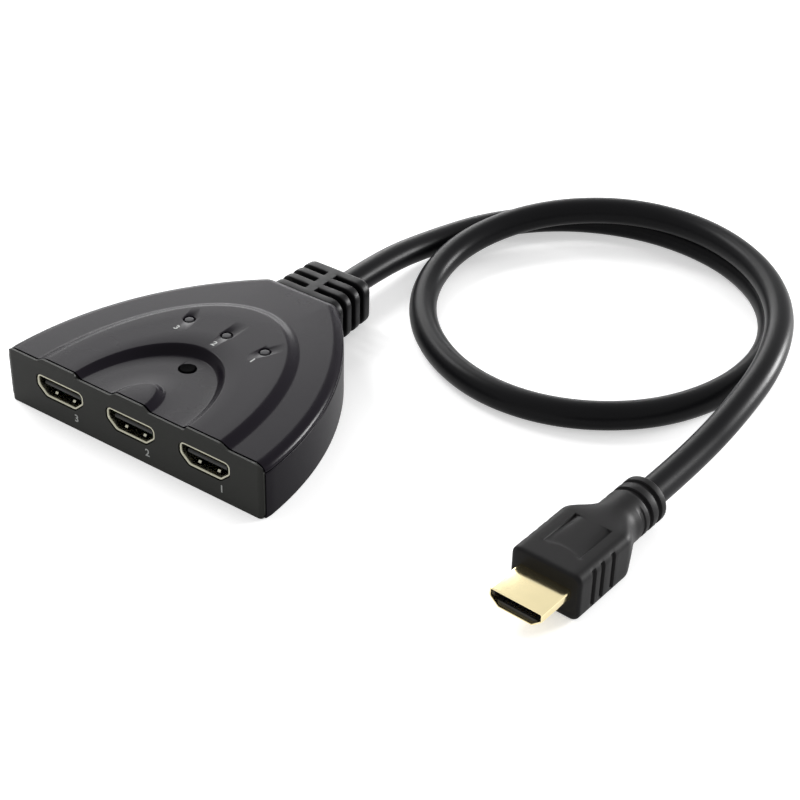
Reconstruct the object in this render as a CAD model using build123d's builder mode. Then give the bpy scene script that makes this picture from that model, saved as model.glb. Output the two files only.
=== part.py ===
# Three-port HDMI switch box with a fixed cable and plug. All sizes are in millimetres.
# +Z is up and +Y points away from the ports. The origin is on the table, under the middle of the
# box and its rear boot taken together.
from math import cos, pi, radians, sin, sqrt, tan
import os

from build123d import *

os.makedirs("parts", exist_ok=True)

# Fits and clearances
slide_gap = 0.3  # around parts that move, and between their curved faces
lip_gap = 0.15  # between a lip or tongue and its groove
snug_gap = 0.05  # around parts that are glued, soldered or clamped in place

# Box outline: straight front, one large arc per side, short straight rear
case_depth = 66.5
case_half_width = 41.0
rear_half_width = 11.0
side_taper = case_half_width - rear_half_width
side_radius = (side_taper**2 + case_depth**2) / (2 * side_taper)  # meets the front squarely
rear_corner = 4.0
relief_reach = 15.8
front_y = -(case_depth + relief_reach) / 2
rear_y = front_y + case_depth
relief_end_y = rear_y + relief_reach

# Heights of the two shells
wall = 2.0
floor_thickness = 2.0
part_line = 13.3
rim_gap = 0.35
case_rim = part_line - rim_gap
lip_depth = 2.0
band_top = 15.3
shoulder = 2.6
plateau_top = 16.5
cover_skin = 2.0

# Terraces of the top: half-ovals centred on the front edge, as shares of the case
plateau_half_width = 0.685 * case_half_width
plateau_depth = 0.744 * case_depth
plateau_slope = 2.2
plateau_rim = 2.0  # from the half-oval's edge to the pocket under it
field_half_width = 0.422 * case_half_width
field_depth = 0.408 * case_depth
field_slope = 0.55
field_front_z = 15.3
field_rear_z = 14.0
field_skin = 1.4
dome_half_width = 5.9
dome_depth = 10.3
dome_slope = 1.7
cover_rib_height = 2.8
cover_rib_overlap = 0.85
cover_rib_margin = 8.0

# Front panel
panel_thickness = 1.8
panel_gap = 0.35
tongue_thickness = 1.8
panel_lug = 0.8
panel_corner = 0.7
panel_lip = 0.35

# Ribs of the lower shell, under the board and behind the panel
rib_thickness = 1.2
sill_margin = 5.0
port_rib_margin = 4.9
port_rib_y = 8.6
chip_rib_half_width = 17.0
chip_rib_y = 30.0
saddle_width = 12.0
saddle_height = 2.6

# Ports
port_end_distance = 17.9  # from the outer ports' middle to the case's sides
port_pitch = case_half_width - port_end_distance
port_z = 8.65
port_width = 14.0
port_height = 4.55
port_low_width = port_width - 4.8
port_knee = -0.1
port_corner = 0.5
shell_thickness = 0.35
shell_flare = 0.3
shell_flare_length = 0.8
shell_inset = 0.15
shell_length = 11.4
window_gap = 0.2
block_start = 9.3
block_end = 11.9
port_tongue_width = port_width - 2.1
port_tongue_low = -0.35
port_tongue_high = 0.75
port_tongue_start = 1.2
contact_pitch = 1.0
contact_width = 0.3
contact_thickness = 0.12
contact_start = 1.7
contact_tail = 12.5
contact_foot = 13.3
contact_rows = ((10, port_tongue_high), (9, port_tongue_low - contact_thickness))
finger_x = 2.95
finger_width = 1.6
finger_window = 2.4
finger_window_length = 6.6
finger_window_y = 5.3
finger_root = 8.8
finger_bend = 3.1
finger_tip = 2.3
finger_thickness = 0.25
finger_reach = 0.3  # how far a finger stands into the port
leg_places = (6.6, 10.4)
leg_width = 1.6
leg_below = 0.6

# Circuit board
board_bottom = 4.25
board_thickness = 1.6
board_top = board_bottom + board_thickness
board_front = 5.2
board_rear = case_depth - 9.5
board_margin = 1.3
board_notch_half_width = 8.0
board_notch_start = case_depth - 16.5
leg_slot_margin = 0.2

# Screws, from below through the lower shell and the board into the cover
front_screw_y = 9.4
front_screw_margin = 5.9
rear_screw_y = case_depth - 15.0
rear_screw_margin = 8.1
screw_shank = 2.4
screw_cross = 3.0
screw_cross_width = 0.8
screw_cross_depth = 1.6
screw_tip_room = 0.8
screw_head = 5.0
screw_head_height = 1.7
screw_length = 8.6
screw_recess = 2.0
boss_diameter = 6.0
boss_hole = 2.5
screw_clearance = 3.0

# Lamps
lamp_pitch = 0.298 * case_half_width
lamp_y = 0.537 * case_depth
lamp_diameter = 3.0
lamp_hole = 3.2
lamp_flange = 3.8
lamp_flange_z = 11.0
lamp_flange_height = 1.0
lamp_top = 16.3
lead_width = 0.5
lead_pitch = 2.54
lead_below = 1.0
lead_hole = 0.9

# Select button and its push switch
button_y = 0.316 * case_depth
button_diameter = 4.0
button_top = 14.55
button_flange = 6.4
button_flange_height = 0.8
button_stem = 3.2
button_travel = 0.4
switch_width = 6.0
switch_height = 3.2
switch_plate = 0.25
switch_corner = 0.4
switch_stud_pitch = 4.6
switch_stud = 0.35
switch_leg_pitch = 4.5
switch_leg_width = 0.7
switch_leg_reach = 1.8
switch_leg_thickness = 0.2
switch_leg_height = 1.6
plunger_diameter = 3.2
plunger_flange = 4.2
plunger_top = 10.9
plunger_flange_height = 0.55
plunger_nub = 2.0
plunger_nub_height = 1.0
dome_rise = 0.4
dome_crown = 1.2

# Chips, crystal and small ceramic parts on the board
chip_lift = 0.1
chip_edge = 0.2
main_chip_size = 10.0
main_chip_height = 1.3
main_chip_dot = 0.4
main_chip_dot_place = 3.8
memory_width = 3.9
memory_length = 4.9
memory_height = 1.3
memory_y = 17.4
control_width = 7.5
control_length = 10.3
control_height = 1.7
pin_thickness = 0.15
pin_width = 0.22
crystal_length = 10.2
crystal_width = 3.8
crystal_height = 3.4
crystal_rim = 0.4
capacitor = (1.6, 0.8, 0.7)

# Rear boot of the cable
relief_z = 7.45
relief_front_width = 22.4
relief_rear_width = 20.6
relief_front_height = 13.1
relief_rear_height = 12.9
relief_corner = 3.2
relief_slot = 1.7
relief_slot_pitch = 4.0
relief_first_slot = 3.3
relief_spine = 2.8
relief_core = 9.6
relief_end_round = 1.3
neck_half_width = 7.0
neck_low = 3.0
neck_high = part_line - 0.15
inner_flange_half_width = 8.6
inner_flange_low = 2.05
inner_flange_high = 12.6
inner_flange_thickness = 1.5

# Cable, clamp and wires
cable_diameter = 7.4
cable_z = 7.0
tail_start = case_depth - 12.0
clamp_diameter = 9.4
clamp_start = case_depth - 8.2
clamp_length = 4.0
clamp_lug = 3.0
clamp_lug_height = 0.8
wire_diameter = 0.8
wire_count = 7
wire_pitch = 1.6
wire_spread = 0.85
wire_crown = 1.0
wire_fall = 0.3
wire_end = case_depth - 20.0
wire_lift = 0.15

# Plug on the free end
plug_mouth_x = 106.8
plug_mouth_y = relief_end_y - 78.9
plug_z = 6.2
plug_yaw = 3.4
plug_shell_width = 13.9
plug_shell_height = 4.45
plug_low_width = plug_shell_width - 4.9
plug_shell_thickness = 0.4
plug_shell_corner = 0.7
plug_shell_reach = 10.6
plug_shell_hidden = 8.0
plug_slot_width = plug_shell_width - 1.8
plug_slot_height = 1.9
plug_slot_start = 0.9
plug_slot_end = 9.3
plug_contact_start = 1.4
plug_contact_rows = ((10, 0.95), (9, -1.07))
plug_insulator_gap = 0.5
plug_body_width = plug_shell_width + 4.5
plug_body_height = 12.4
plug_body_corner = 2.2
plug_front_round = 0.9
plug_body_end = 30.0
plug_shoulder_end = 37.6
plug_neck_diameter = 12.0
plug_end = 50.3
plug_ring_width = 1.6
plug_ring_depth = 0.65
plug_rings = (43.2, 46.8)
plug_rib_places = (15.2, 18.5, 22.6)
plug_rib_width = 1.4
plug_rib_depth = 0.6
plug_rib_height = 9.6
plug_rib_rise = 0.5
plug_recess_half_width = 4.8
plug_recess_start = 16.0
plug_recess_end = plug_body_end - 1.6
plug_recess_shallow = 0.3
plug_recess_deep = 0.9

# Free cord, as corner points with straight runs between them, from the middle of the boot's end
lying = cable_diameter / 2
cord_route = [
    (0, 0, cable_z),
    (0, 18.7, cable_z),
    (2, 38.7, 4.8),
    (8.5, 60.7, lying),
    (24.5, 78.2, lying),
    (47.5, 87.2, lying),
    (72, 84.7, lying),
    (92, 71.7, lying),
    (103.5, 50.2, lying),
    (103.5, 25.7, lying),
    (93, 3.7, lying),
    (73, -10.3, lying),
    (49.5, -11.8, lying),
    (27.5, -0.3, lying),
    (13, 19.7, lying),
    (10, 43.2, 6),
    (20, 65.2, 9),
    (39.5, 80.2, 10.7),
    (63, 83.7, 11.2),
    (85.5, 74.7, 11.5),
    (102, 56.7, 11.8),
    (110.5, 33.2, 11.5),
    (112, 9.7, 9),
]
cord_last_run = 18.3
cord_arc_share = 0.45  # of the shorter run on either side of a corner


# Outline of the box and the outlines derived from it
with BuildSketch() as case_outline:
    with BuildLine():
        Line((-case_half_width, front_y), (case_half_width, front_y))
        RadiusArc((case_half_width, front_y), (rear_half_width, rear_y), -side_radius)
        Line((rear_half_width, rear_y), (-rear_half_width, rear_y))
        RadiusArc((-rear_half_width, rear_y), (-case_half_width, front_y), -side_radius)
    make_face()
    fillet(case_outline.vertices().group_by(Axis.Y)[-1], rear_corner)

with BuildSketch() as inner_outline:
    add(case_outline.sketch)
    offset(amount=-wall, kind=Kind.INTERSECTION)

with BuildSketch() as rim_outline:
    add(case_outline.sketch)
    offset(amount=-wall / 2, kind=Kind.INTERSECTION)

with BuildSketch() as lip_outline:
    add(case_outline.sketch)
    offset(amount=-wall / 2 - lip_gap, kind=Kind.INTERSECTION)

body_front = front_y + panel_thickness + panel_gap
rib_y = front_y + panel_thickness + tongue_thickness + lip_gap


def case_edge(distance):
    """Half width of the case at a distance behind its front."""
    return case_half_width - side_radius + sqrt(side_radius**2 - distance**2)


front_screw_x = case_edge(front_screw_y) - front_screw_margin
rear_screw_x = case_edge(rear_screw_y) - rear_screw_margin
screw_points = [
    (front_screw_x, front_y + front_screw_y),
    (-front_screw_x, front_y + front_screw_y),
    (rear_screw_x, front_y + rear_screw_y),
    (-rear_screw_x, front_y + rear_screw_y),
]
on_top = (Align.CENTER, Align.CENTER, Align.MIN)
port_places = [(port_pitch * (i - 1), port_z) for i in range(3)]
lamp_places = [(lamp_pitch * (i - 1), front_y + lamp_y) for i in range(3)]
tongue_half_width = case_half_width - wall - 0.4
tongue_top = field_rear_z - field_skin - lip_gap
lug_z = 5.5
lug_height = 3.0
lug_depth = 1.0
lug_y = front_y + panel_thickness + 0.9


def port_section(margin, width=port_width, height=port_height, low=port_low_width, corner=port_corner):
    """Outline of an HDMI opening, wide at the top, grown by a margin."""
    with BuildSketch() as section:
        with BuildLine():
            Polyline(
                (-width / 2, height / 2),
                (width / 2, height / 2),
                (width / 2, port_knee),
                (low / 2, -height / 2),
                (-low / 2, -height / 2),
                (-width / 2, port_knee),
                close=True,
            )
        make_face()
        fillet(section.vertices(), corner)
        if margin:
            offset(amount=margin)
    return section.sketch


# Lower shell
with BuildPart() as bottom_case:
    with BuildSketch():
        add(case_outline.sketch)
    extrude(amount=case_rim)
    with BuildSketch(Plane.XY.offset(floor_thickness)):
        add(inner_outline.sketch)
    extrude(amount=case_rim, mode=Mode.SUBTRACT)
    with BuildSketch(Plane.XY.offset(part_line - lip_depth - lip_gap)):
        add(rim_outline.sketch)
    extrude(amount=lip_depth + wall, mode=Mode.SUBTRACT)
    # Room for the front panel, its tongue and its end lugs
    with BuildSketch(Plane.XY):
        with Locations((0, front_y)):
            Rectangle(
                2 * case_half_width + 4,
                2 * (panel_thickness + panel_gap),
            )
    extrude(amount=part_line, mode=Mode.SUBTRACT)
    with BuildSketch(Plane.XY.offset(lug_z - lip_gap)):
        with Locations((0, lug_y)):
            Rectangle(
                2 * (tongue_half_width + panel_lug + lip_gap),
                lug_depth + 2 * lip_gap,
            )
    extrude(amount=lug_height + 2 * lip_gap, mode=Mode.SUBTRACT)
    # Sill behind the tongue and a rib under the board behind the ports
    rib_height = board_bottom - floor_thickness
    with Locations((0, rib_y + rib_thickness / 2, floor_thickness)):
        Box(2 * (case_half_width - sill_margin), rib_thickness, rib_height - lip_gap, align=on_top)
    with Locations((0, front_y + port_rib_y, floor_thickness)):
        Box(2 * (port_pitch + port_rib_margin), rib_thickness, rib_height, align=on_top)
    with Locations((0, front_y + chip_rib_y, floor_thickness)):
        Box(2 * chip_rib_half_width, rib_thickness, rib_height, align=on_top)
    # Bosses with recessed screw heads
    with Locations(*[(x, y, floor_thickness) for x, y in screw_points]):
        Cylinder(boss_diameter / 2, board_bottom - floor_thickness, align=on_top)
    with Locations(*[(x, y, 0) for x, y in screw_points]):
        Cylinder(
            screw_clearance / 2,
            board_bottom,
            align=on_top,
            mode=Mode.SUBTRACT,
        )
        Cylinder(
            screw_head / 2 + slide_gap,
            screw_recess,
            align=on_top,
            mode=Mode.SUBTRACT,
        )
    # Saddle under the cable clamp
    with BuildSketch(Plane.XZ.offset(-(front_y + clamp_start))):
        with Locations((0, floor_thickness)):
            Rectangle(saddle_width, saddle_height, align=(Align.CENTER, Align.MIN))
        with Locations((0, cable_z)):
            Circle(clamp_diameter / 2 + snug_gap, mode=Mode.SUBTRACT)
    extrude(amount=-clamp_length)
    # Opening for the neck of the rear boot
    with BuildSketch(Plane.XZ.offset(-(rear_y - wall - 1))):
        with Locations((0, neck_low - snug_gap)):
            Rectangle(2 * (neck_half_width + snug_gap), part_line, align=(Align.CENTER, Align.MIN))
    extrude(amount=-(wall + 2), mode=Mode.SUBTRACT)
    bottom_edges = bottom_case.faces().sort_by(Axis.Z)[0].outer_wire().edges()
    fillet(bottom_edges.sort_by(Axis.Y)[1:], 0.5)
bottom_case.part.label = "bottom_case"

# Sunk field of the cover, as the shape that is taken away
with BuildPart() as field_cut:
    with BuildSketch(Plane.XY.offset(field_rear_z - 0.4)):
        with Locations((0, front_y)):
            Ellipse(field_half_width - field_slope, field_depth - field_slope)
    with BuildSketch(Plane.XY.offset(plateau_top)):
        with Locations((0, front_y)):
            Ellipse(field_half_width + field_slope, field_depth + field_slope)
    loft()
    field_floor = Plane(
        origin=(0, front_y, field_front_z),
        x_dir=(1, 0, 0),
        z_dir=(0, (field_front_z - field_rear_z) / field_depth, 1),
    )
    split(bisect_by=field_floor, keep=Keep.TOP)

# Upper shell
with BuildPart() as top_cover:
    with BuildSketch(Plane.XY.offset(band_top - shoulder - 0.1)):
        add(case_outline.sketch)
    extrude(amount=shoulder + 0.1)
    rim_edges = top_cover.faces().sort_by(Axis.Z)[-1].edges().sort_by(Axis.Y)[1:]
    fillet(rim_edges, shoulder)
    with BuildSketch(Plane.XY.offset(part_line)):
        with Locations((0, front_y)):
            Rectangle(4 * case_half_width, 4 * case_depth)
    extrude(amount=-5, mode=Mode.SUBTRACT)
    # Raised half-oval
    with BuildSketch(Plane.XY.offset(band_top)):
        with Locations((0, front_y)):
            Ellipse(plateau_half_width + plateau_slope, plateau_depth + plateau_slope)
    with BuildSketch(Plane.XY.offset(plateau_top)):
        with Locations((0, front_y)):
            Ellipse(plateau_half_width, plateau_depth)
    loft()
    # Underside pocket below the half-oval, and the pad that keeps the field's skin
    with BuildSketch(Plane.XY.offset(part_line)):
        with Locations((0, front_y)):
            Ellipse(plateau_half_width - plateau_rim, plateau_depth - plateau_rim)
    extrude(amount=plateau_top - cover_skin - part_line, mode=Mode.SUBTRACT)
    with BuildSketch(Plane.XY.offset(field_rear_z - field_skin)):
        with Locations((0, front_y)):
            Ellipse(field_half_width + field_skin + field_slope, field_depth + field_skin + field_slope)
    extrude(amount=plateau_top - cover_skin - field_rear_z + field_skin)
    add(field_cut.part, mode=Mode.SUBTRACT)
    # Small raised dome at the front
    with BuildSketch(Plane.XY.offset(field_rear_z - 0.4)):
        with Locations((0, front_y)):
            Ellipse(dome_half_width + 0.5, dome_depth + 0.5)
    with BuildSketch(Plane.XY.offset(plateau_top)):
        with Locations((0, front_y)):
            Ellipse(dome_half_width - dome_slope, dome_depth - dome_slope)
    loft()
    # Lip that drops inside the lower shell
    with BuildSketch(Plane.XY.offset(part_line - lip_depth)):
        add(lip_outline.sketch)
        add(inner_outline.sketch, mode=Mode.SUBTRACT)
    extrude(amount=lip_depth)
    # Rib behind the tongue of the front panel
    with Locations((0, rib_y + rib_thickness / 2, tongue_top - cover_rib_overlap)):
        Box(2 * (case_half_width - cover_rib_margin), rib_thickness, cover_rib_height, align=on_top)
    # Screw bosses
    with Locations(*[(x, y, board_top) for x, y in screw_points]):
        Cylinder(boss_diameter / 2, part_line - board_top, align=on_top)
        Cylinder(
            boss_hole / 2,
            part_line - board_top - screw_tip_room,
            align=on_top,
            mode=Mode.SUBTRACT,
        )
    # Holes for the lamps and the button
    with Locations(*[(x, y, part_line - 2) for x, y in lamp_places]):
        Cylinder(lamp_hole / 2, 6, align=on_top, mode=Mode.SUBTRACT)
    with Locations((0, front_y + button_y, 10)):
        Cylinder(
            button_diameter / 2 + slide_gap,
            8,
            align=on_top,
            mode=Mode.SUBTRACT,
        )
    # Straight front behind the panel, and room for the neck of the rear boot
    with BuildSketch(Plane.XY):
        with Locations((0, body_front)):
            Rectangle(
                4 * case_half_width,
                4 * case_depth,
                align=(Align.CENTER, Align.MAX),
            )
    extrude(amount=30, mode=Mode.SUBTRACT)
    with BuildSketch(Plane.XZ.offset(-(rear_y - wall - 1))):
        with Locations((0, part_line)):
            Rectangle(2 * (neck_half_width + 0.4), 8, align=(Align.CENTER, Align.MAX))
    extrude(amount=-(wall + 2), mode=Mode.SUBTRACT)
top_cover.part.label = "top_cover"

# Front panel: its upper edge follows the terraces
with BuildPart() as front_panel:
    with BuildSketch(Plane.XZ.offset(-front_y)) as panel_face:
        with BuildLine():
            right_top = Polyline(
                (0, plateau_top),
                (dome_half_width - dome_slope, plateau_top),
                (dome_half_width, field_front_z),
                (field_half_width, field_front_z),
                (field_half_width + field_slope, plateau_top),
                (plateau_half_width, plateau_top),
                (plateau_half_width + plateau_slope, band_top),
                (case_half_width - shoulder, band_top),
            )
            end_round = JernArc(right_top @ 1, (1, 0), shoulder, -90)
            side = Polyline(end_round @ 1, (case_half_width, 0), (0, 0))
            mirror(about=Plane.YZ)
        make_face()
        step_corners = [v for v in panel_face.vertices() if v.Z > field_front_z - 0.1 and abs(v.X) < 32]
        fillet(step_corners, panel_corner)
    extrude(amount=-panel_thickness)
    with BuildSketch(Plane.XZ.offset(-(front_y + panel_thickness))):
        with Locations((0, floor_thickness + lip_gap)):
            Rectangle(
                2 * tongue_half_width,
                tongue_top - floor_thickness - lip_gap,
                align=(Align.CENTER, Align.MIN),
            )
    extrude(amount=-tongue_thickness)
    with Locations((0, lug_y, lug_z)):
        Box(
            2 * (tongue_half_width + panel_lug),
            lug_depth,
            lug_height,
            align=on_top,
        )
    with BuildSketch(Plane.XZ.offset(-front_y)):
        with Locations(*port_places):
            add(port_section(shell_thickness + shell_flare + window_gap))
    extrude(amount=-5, mode=Mode.SUBTRACT)
    lip_edges = front_panel.faces().sort_by(Axis.Y)[0].outer_wire().edges()
    chamfer(lip_edges.filter_by(lambda e: e.center().Z > 1), panel_lip)
front_panel.part.label = "front_panel"

# Ports: shell, contacts and insulator, three times
ports = []
for number, (port_x, _) in enumerate(port_places, start=1):
    shell_front = front_y + shell_inset
    with BuildPart() as hdmi_shell:
        with BuildSketch(Plane.XZ.offset(-shell_front)):
            with Locations((port_x, port_z)):
                add(port_section(shell_thickness))
                add(port_section(0), mode=Mode.SUBTRACT)
        extrude(amount=-shell_length)
        with BuildSketch(Plane.XZ.offset(-shell_front)):
            with Locations((port_x, port_z)):
                add(port_section(shell_thickness + shell_flare))
                add(port_section(shell_thickness / 2), mode=Mode.SUBTRACT)
        extrude(amount=-shell_flare_length)
        mouth_edges = hdmi_shell.faces().sort_by(Axis.Y)[0].inner_wires()[0].edges()
        chamfer(mouth_edges, shell_thickness / 2)
        # Spring fingers in the upper and lower wall, each in its own cut-out
        for side_sign in (1, -1):
            wall_z = port_z + side_sign * (port_height / 2 + shell_thickness / 2)
            with Locations(
                (port_x - finger_x, shell_front + finger_window_y, wall_z),
                (port_x + finger_x, shell_front + finger_window_y, wall_z),
            ):
                Box(finger_window, finger_window_length, 3 * shell_thickness, mode=Mode.SUBTRACT)
            root = side_sign * (port_height / 2 + shell_thickness)
            bend = side_sign * (port_height / 2 - finger_reach)
            tip = side_sign * (port_height / 2 - finger_reach + finger_thickness)
            thick = side_sign * finger_thickness
            for finger_side in (-1, 1):
                finger_start = port_x + finger_side * finger_x - finger_width / 2
                with BuildSketch(Plane.YZ.offset(finger_start)):
                    with BuildLine():
                        Polyline(
                            (shell_front + finger_root, port_z + root),
                            (shell_front + finger_bend, port_z + bend + thick),
                            (shell_front + finger_tip, port_z + tip + thick),
                            (shell_front + finger_tip, port_z + tip),
                            (shell_front + finger_bend, port_z + bend),
                            (shell_front + finger_root, port_z + root - thick),
                            close=True,
                        )
                    make_face()
                extrude(amount=finger_width)
        # Solder legs through the board
        for leg_place in leg_places:
            for leg_side in (-1, 1):
                leg_x = port_x + leg_side * (port_width / 2 + shell_thickness / 2)
                with Locations((leg_x, shell_front + leg_place, board_bottom - leg_below)):
                    Box(shell_thickness, leg_width, port_z - board_bottom + 2 * leg_below, align=on_top)
    hdmi_shell.part.label = f"hdmi_shell_{number}"

    with BuildPart() as hdmi_contacts:
        tail_y = front_y + contact_tail
        foot_y = front_y + contact_foot
        for count, height in contact_rows:
            strip_z = port_z + height
            for i in range(count):
                strip_x = port_x + contact_pitch * (i - (count - 1) / 2) - contact_width / 2
                with BuildSketch(Plane.YZ.offset(strip_x)):
                    with BuildLine():
                        Polyline(
                            (front_y + contact_start, strip_z),
                            (tail_y, strip_z),
                            (tail_y, board_top),
                            (foot_y, board_top),
                            (foot_y, board_top + contact_thickness),
                            (tail_y + contact_thickness, board_top + contact_thickness),
                            (tail_y + contact_thickness, strip_z + contact_thickness),
                            (front_y + contact_start, strip_z + contact_thickness),
                            close=True,
                        )
                    make_face()
                extrude(amount=contact_width)
    hdmi_contacts.part.label = f"hdmi_contacts_{number}"

    with BuildPart() as hdmi_insulator:
        with BuildSketch(Plane.XZ.offset(-(front_y + block_start))):
            with Locations((port_x, port_z)):
                add(port_section(-snug_gap))
        extrude(amount=-(block_end - block_start))
        with BuildSketch(Plane.XZ.offset(-(front_y + port_tongue_start))):
            with Locations((port_x, port_z + (port_tongue_low + port_tongue_high) / 2)):
                Rectangle(port_tongue_width, port_tongue_high - port_tongue_low)
        extrude(amount=-(block_start - port_tongue_start))
        nose = hdmi_insulator.faces().sort_by(Axis.Y)[0].edges().filter_by(Axis.X)
        chamfer(nose, (port_tongue_high - port_tongue_low) / 4)
        add(hdmi_contacts.part, mode=Mode.SUBTRACT)
    hdmi_insulator.part.label = f"hdmi_insulator_{number}"
    ports += [hdmi_shell.part, hdmi_contacts.part, hdmi_insulator.part]

# Circuit board with holes for legs, leads and screws
with BuildPart() as main_board:
    with BuildSketch(Plane.XY.offset(board_bottom)):
        add(inner_outline.sketch)
        offset(amount=-board_margin, kind=Kind.INTERSECTION)
        with Locations((0, front_y + board_front)):
            Rectangle(4 * case_half_width, case_depth, align=(Align.CENTER, Align.MAX), mode=Mode.SUBTRACT)
        with Locations((0, front_y + board_rear)):
            Rectangle(4 * case_half_width, case_depth, align=(Align.CENTER, Align.MIN), mode=Mode.SUBTRACT)
        with Locations((0, front_y + board_notch_start)):
            Rectangle(
                2 * board_notch_half_width,
                case_depth,
                align=(Align.CENTER, Align.MIN),
                mode=Mode.SUBTRACT,
            )
        with Locations(*screw_points):
            Circle(screw_clearance / 2, mode=Mode.SUBTRACT)
        with Locations(*[
            (x + s * (port_width / 2 + shell_thickness / 2), front_y + shell_inset + d)
            for x, _ in port_places
            for s in (-1, 1)
            for d in leg_places
        ]):
            Rectangle(
                shell_thickness + 2 * leg_slot_margin,
                leg_width + 2 * leg_slot_margin,
                mode=Mode.SUBTRACT,
            )
        with Locations(*[(x + s * lead_pitch / 2, y) for x, y in lamp_places for s in (-1, 1)]):
            Circle(lead_hole / 2, mode=Mode.SUBTRACT)
    extrude(amount=board_thickness)
main_board.part.label = "main_board"

# Lamps and their leads
lamps = []
for number, (lamp_x, lamp_centre) in enumerate(lamp_places, start=1):
    with BuildPart() as lamp:
        with Locations((lamp_x, lamp_centre, lamp_flange_z)):
            Cylinder(lamp_flange / 2, lamp_flange_height, align=on_top)
            Cylinder(
                lamp_diameter / 2,
                lamp_top - lamp_diameter / 2 - lamp_flange_z,
                align=on_top,
            )
        with Locations((lamp_x, lamp_centre, lamp_top - lamp_diameter / 2)):
            Sphere(lamp_diameter / 2)
    lamp.part.label = f"led_{number}"
    lamps.append(lamp.part)

with BuildPart() as led_leads:
    with Locations(*[
        (x + s * lead_pitch / 2, y, board_bottom - lead_below) for x, y in lamp_places for s in (-1, 1)
    ]):
        Box(
            lead_width,
            lead_width,
            lamp_flange_z - board_bottom + lead_below,
            align=on_top,
        )
led_leads.part.label = "led_leads"

# Push switch under the button
switch_plate_z = board_top + switch_height
plunger_flange_z = switch_plate_z - plunger_flange_height
cavity_floor = plunger_flange_z - plunger_nub_height - button_travel - dome_rise - 0.1
button_centre = (0, front_y + button_y)

with BuildPart() as switch_body:
    with Locations((*button_centre, board_top)):
        Box(switch_width, switch_width, switch_height, align=on_top)
    with Locations((*button_centre, cavity_floor)):
        Cylinder(
            plunger_flange / 2 + slide_gap,
            switch_height,
            align=on_top,
            mode=Mode.SUBTRACT,
        )
    chamfer(switch_body.edges().filter_by(Axis.Z), switch_corner)
switch_body.part.label = "switch_body"

with BuildPart() as switch_cover:
    with BuildSketch(Plane.XY.offset(switch_plate_z)):
        with Locations(button_centre):
            Rectangle(switch_width, switch_width)
            Circle(plunger_diameter / 2 + slide_gap, mode=Mode.SUBTRACT)
            with GridLocations(switch_stud_pitch, switch_stud_pitch, 2, 2):
                Circle(switch_stud, mode=Mode.SUBTRACT)
    extrude(amount=switch_plate)
switch_cover.part.label = "switch_cover"

with BuildPart() as switch_plunger:
    with Locations((*button_centre, plunger_flange_z)):
        Cylinder(plunger_flange / 2, plunger_flange_height, align=on_top)
        Cylinder(plunger_diameter / 2, plunger_top - plunger_flange_z, align=on_top)
        Cylinder(plunger_nub / 2, plunger_nub_height, align=(Align.CENTER, Align.CENTER, Align.MAX))
switch_plunger.part.label = "switch_plunger"

with BuildPart() as switch_dome:
    with BuildSketch(Plane.XY.offset(cavity_floor)):
        with Locations(button_centre):
            Circle(plunger_flange / 2)
    with BuildSketch(Plane.XY.offset(cavity_floor + dome_rise)):
        with Locations(button_centre):
            Circle(dome_crown)
    loft()
switch_dome.part.label = "switch_dome"

with BuildPart() as switch_legs:
    for leg_side in (-1, 1):
        foot_x = leg_side * (switch_width + switch_leg_reach) / 2
        upright_x = leg_side * (switch_width + switch_leg_thickness) / 2
        for row_side in (-1, 1):
            row_y = button_centre[1] + row_side * switch_leg_pitch / 2
            with Locations((foot_x, row_y, board_top)):
                Box(switch_leg_reach, switch_leg_width, switch_leg_thickness, align=on_top)
            with Locations((upright_x, row_y, board_top)):
                Box(switch_leg_thickness, switch_leg_width, switch_leg_height, align=on_top)
switch_legs.part.label = "switch_legs"

# Select button: round cap, flange under the cover and a stem that stands on the plunger
button_flange_top = field_rear_z - field_skin
with BuildPart() as select_button:
    with Locations((*button_centre, button_flange_top - button_flange_height)):
        Cylinder(button_flange / 2, button_flange_height, align=on_top)
        Cylinder(
            button_diameter / 2,
            button_top - button_flange_top + button_flange_height,
            align=on_top,
        )
        Cylinder(
            button_stem / 2,
            button_flange_top - button_flange_height - plunger_top,
            align=(Align.CENTER, Align.CENTER, Align.MAX),
        )
    fillet(select_button.edges().group_by(Axis.Z)[-1], 0.3)
select_button.part.label = "select_button"

# Chips: one large switch chip, three small memories, one controller
main_chip = (-15.5, button_centre[1] + 5.0)
memory_places = [(x, front_y + memory_y) for x in (-port_pitch - 1.9, 8.6, port_pitch + 1.9)]
control_place = (15.5, button_centre[1] + 5.2)


def gull_pins(count, pitch, reach, top):
    """A row of bent pins that leave a chip along +X from the origin."""
    with BuildPart() as row:
        for i in range(count):
            pin_y = pitch * (i - (count - 1) / 2)
            with BuildSketch(Plane.XZ.offset(-pin_y - pin_width / 2)):
                with BuildLine():
                    Polyline(
                        (0, top),
                        (reach * 0.45, top),
                        (reach * 0.45, pin_thickness),
                        (reach, pin_thickness),
                        (reach, 0),
                        (reach * 0.3, 0),
                        (reach * 0.3, top - pin_thickness),
                        (0, top - pin_thickness),
                        close=True,
                    )
                make_face()
            extrude(amount=pin_width)
    return row.part


with BuildPart() as switch_chip:
    with Locations((*main_chip, board_top + chip_lift)):
        Box(main_chip_size, main_chip_size, main_chip_height, align=on_top)
    chip_roof = switch_chip.faces().sort_by(Axis.Z)[-1]
    chamfer(chip_roof.edges(), chip_edge)
    with Locations((
        main_chip[0] - main_chip_dot_place,
        main_chip[1] + main_chip_dot_place,
        board_top + chip_lift + main_chip_height,
    )):
        Cylinder(main_chip_dot, main_chip_dot, mode=Mode.SUBTRACT)
switch_chip.part.label = "switch_chip"

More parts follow.
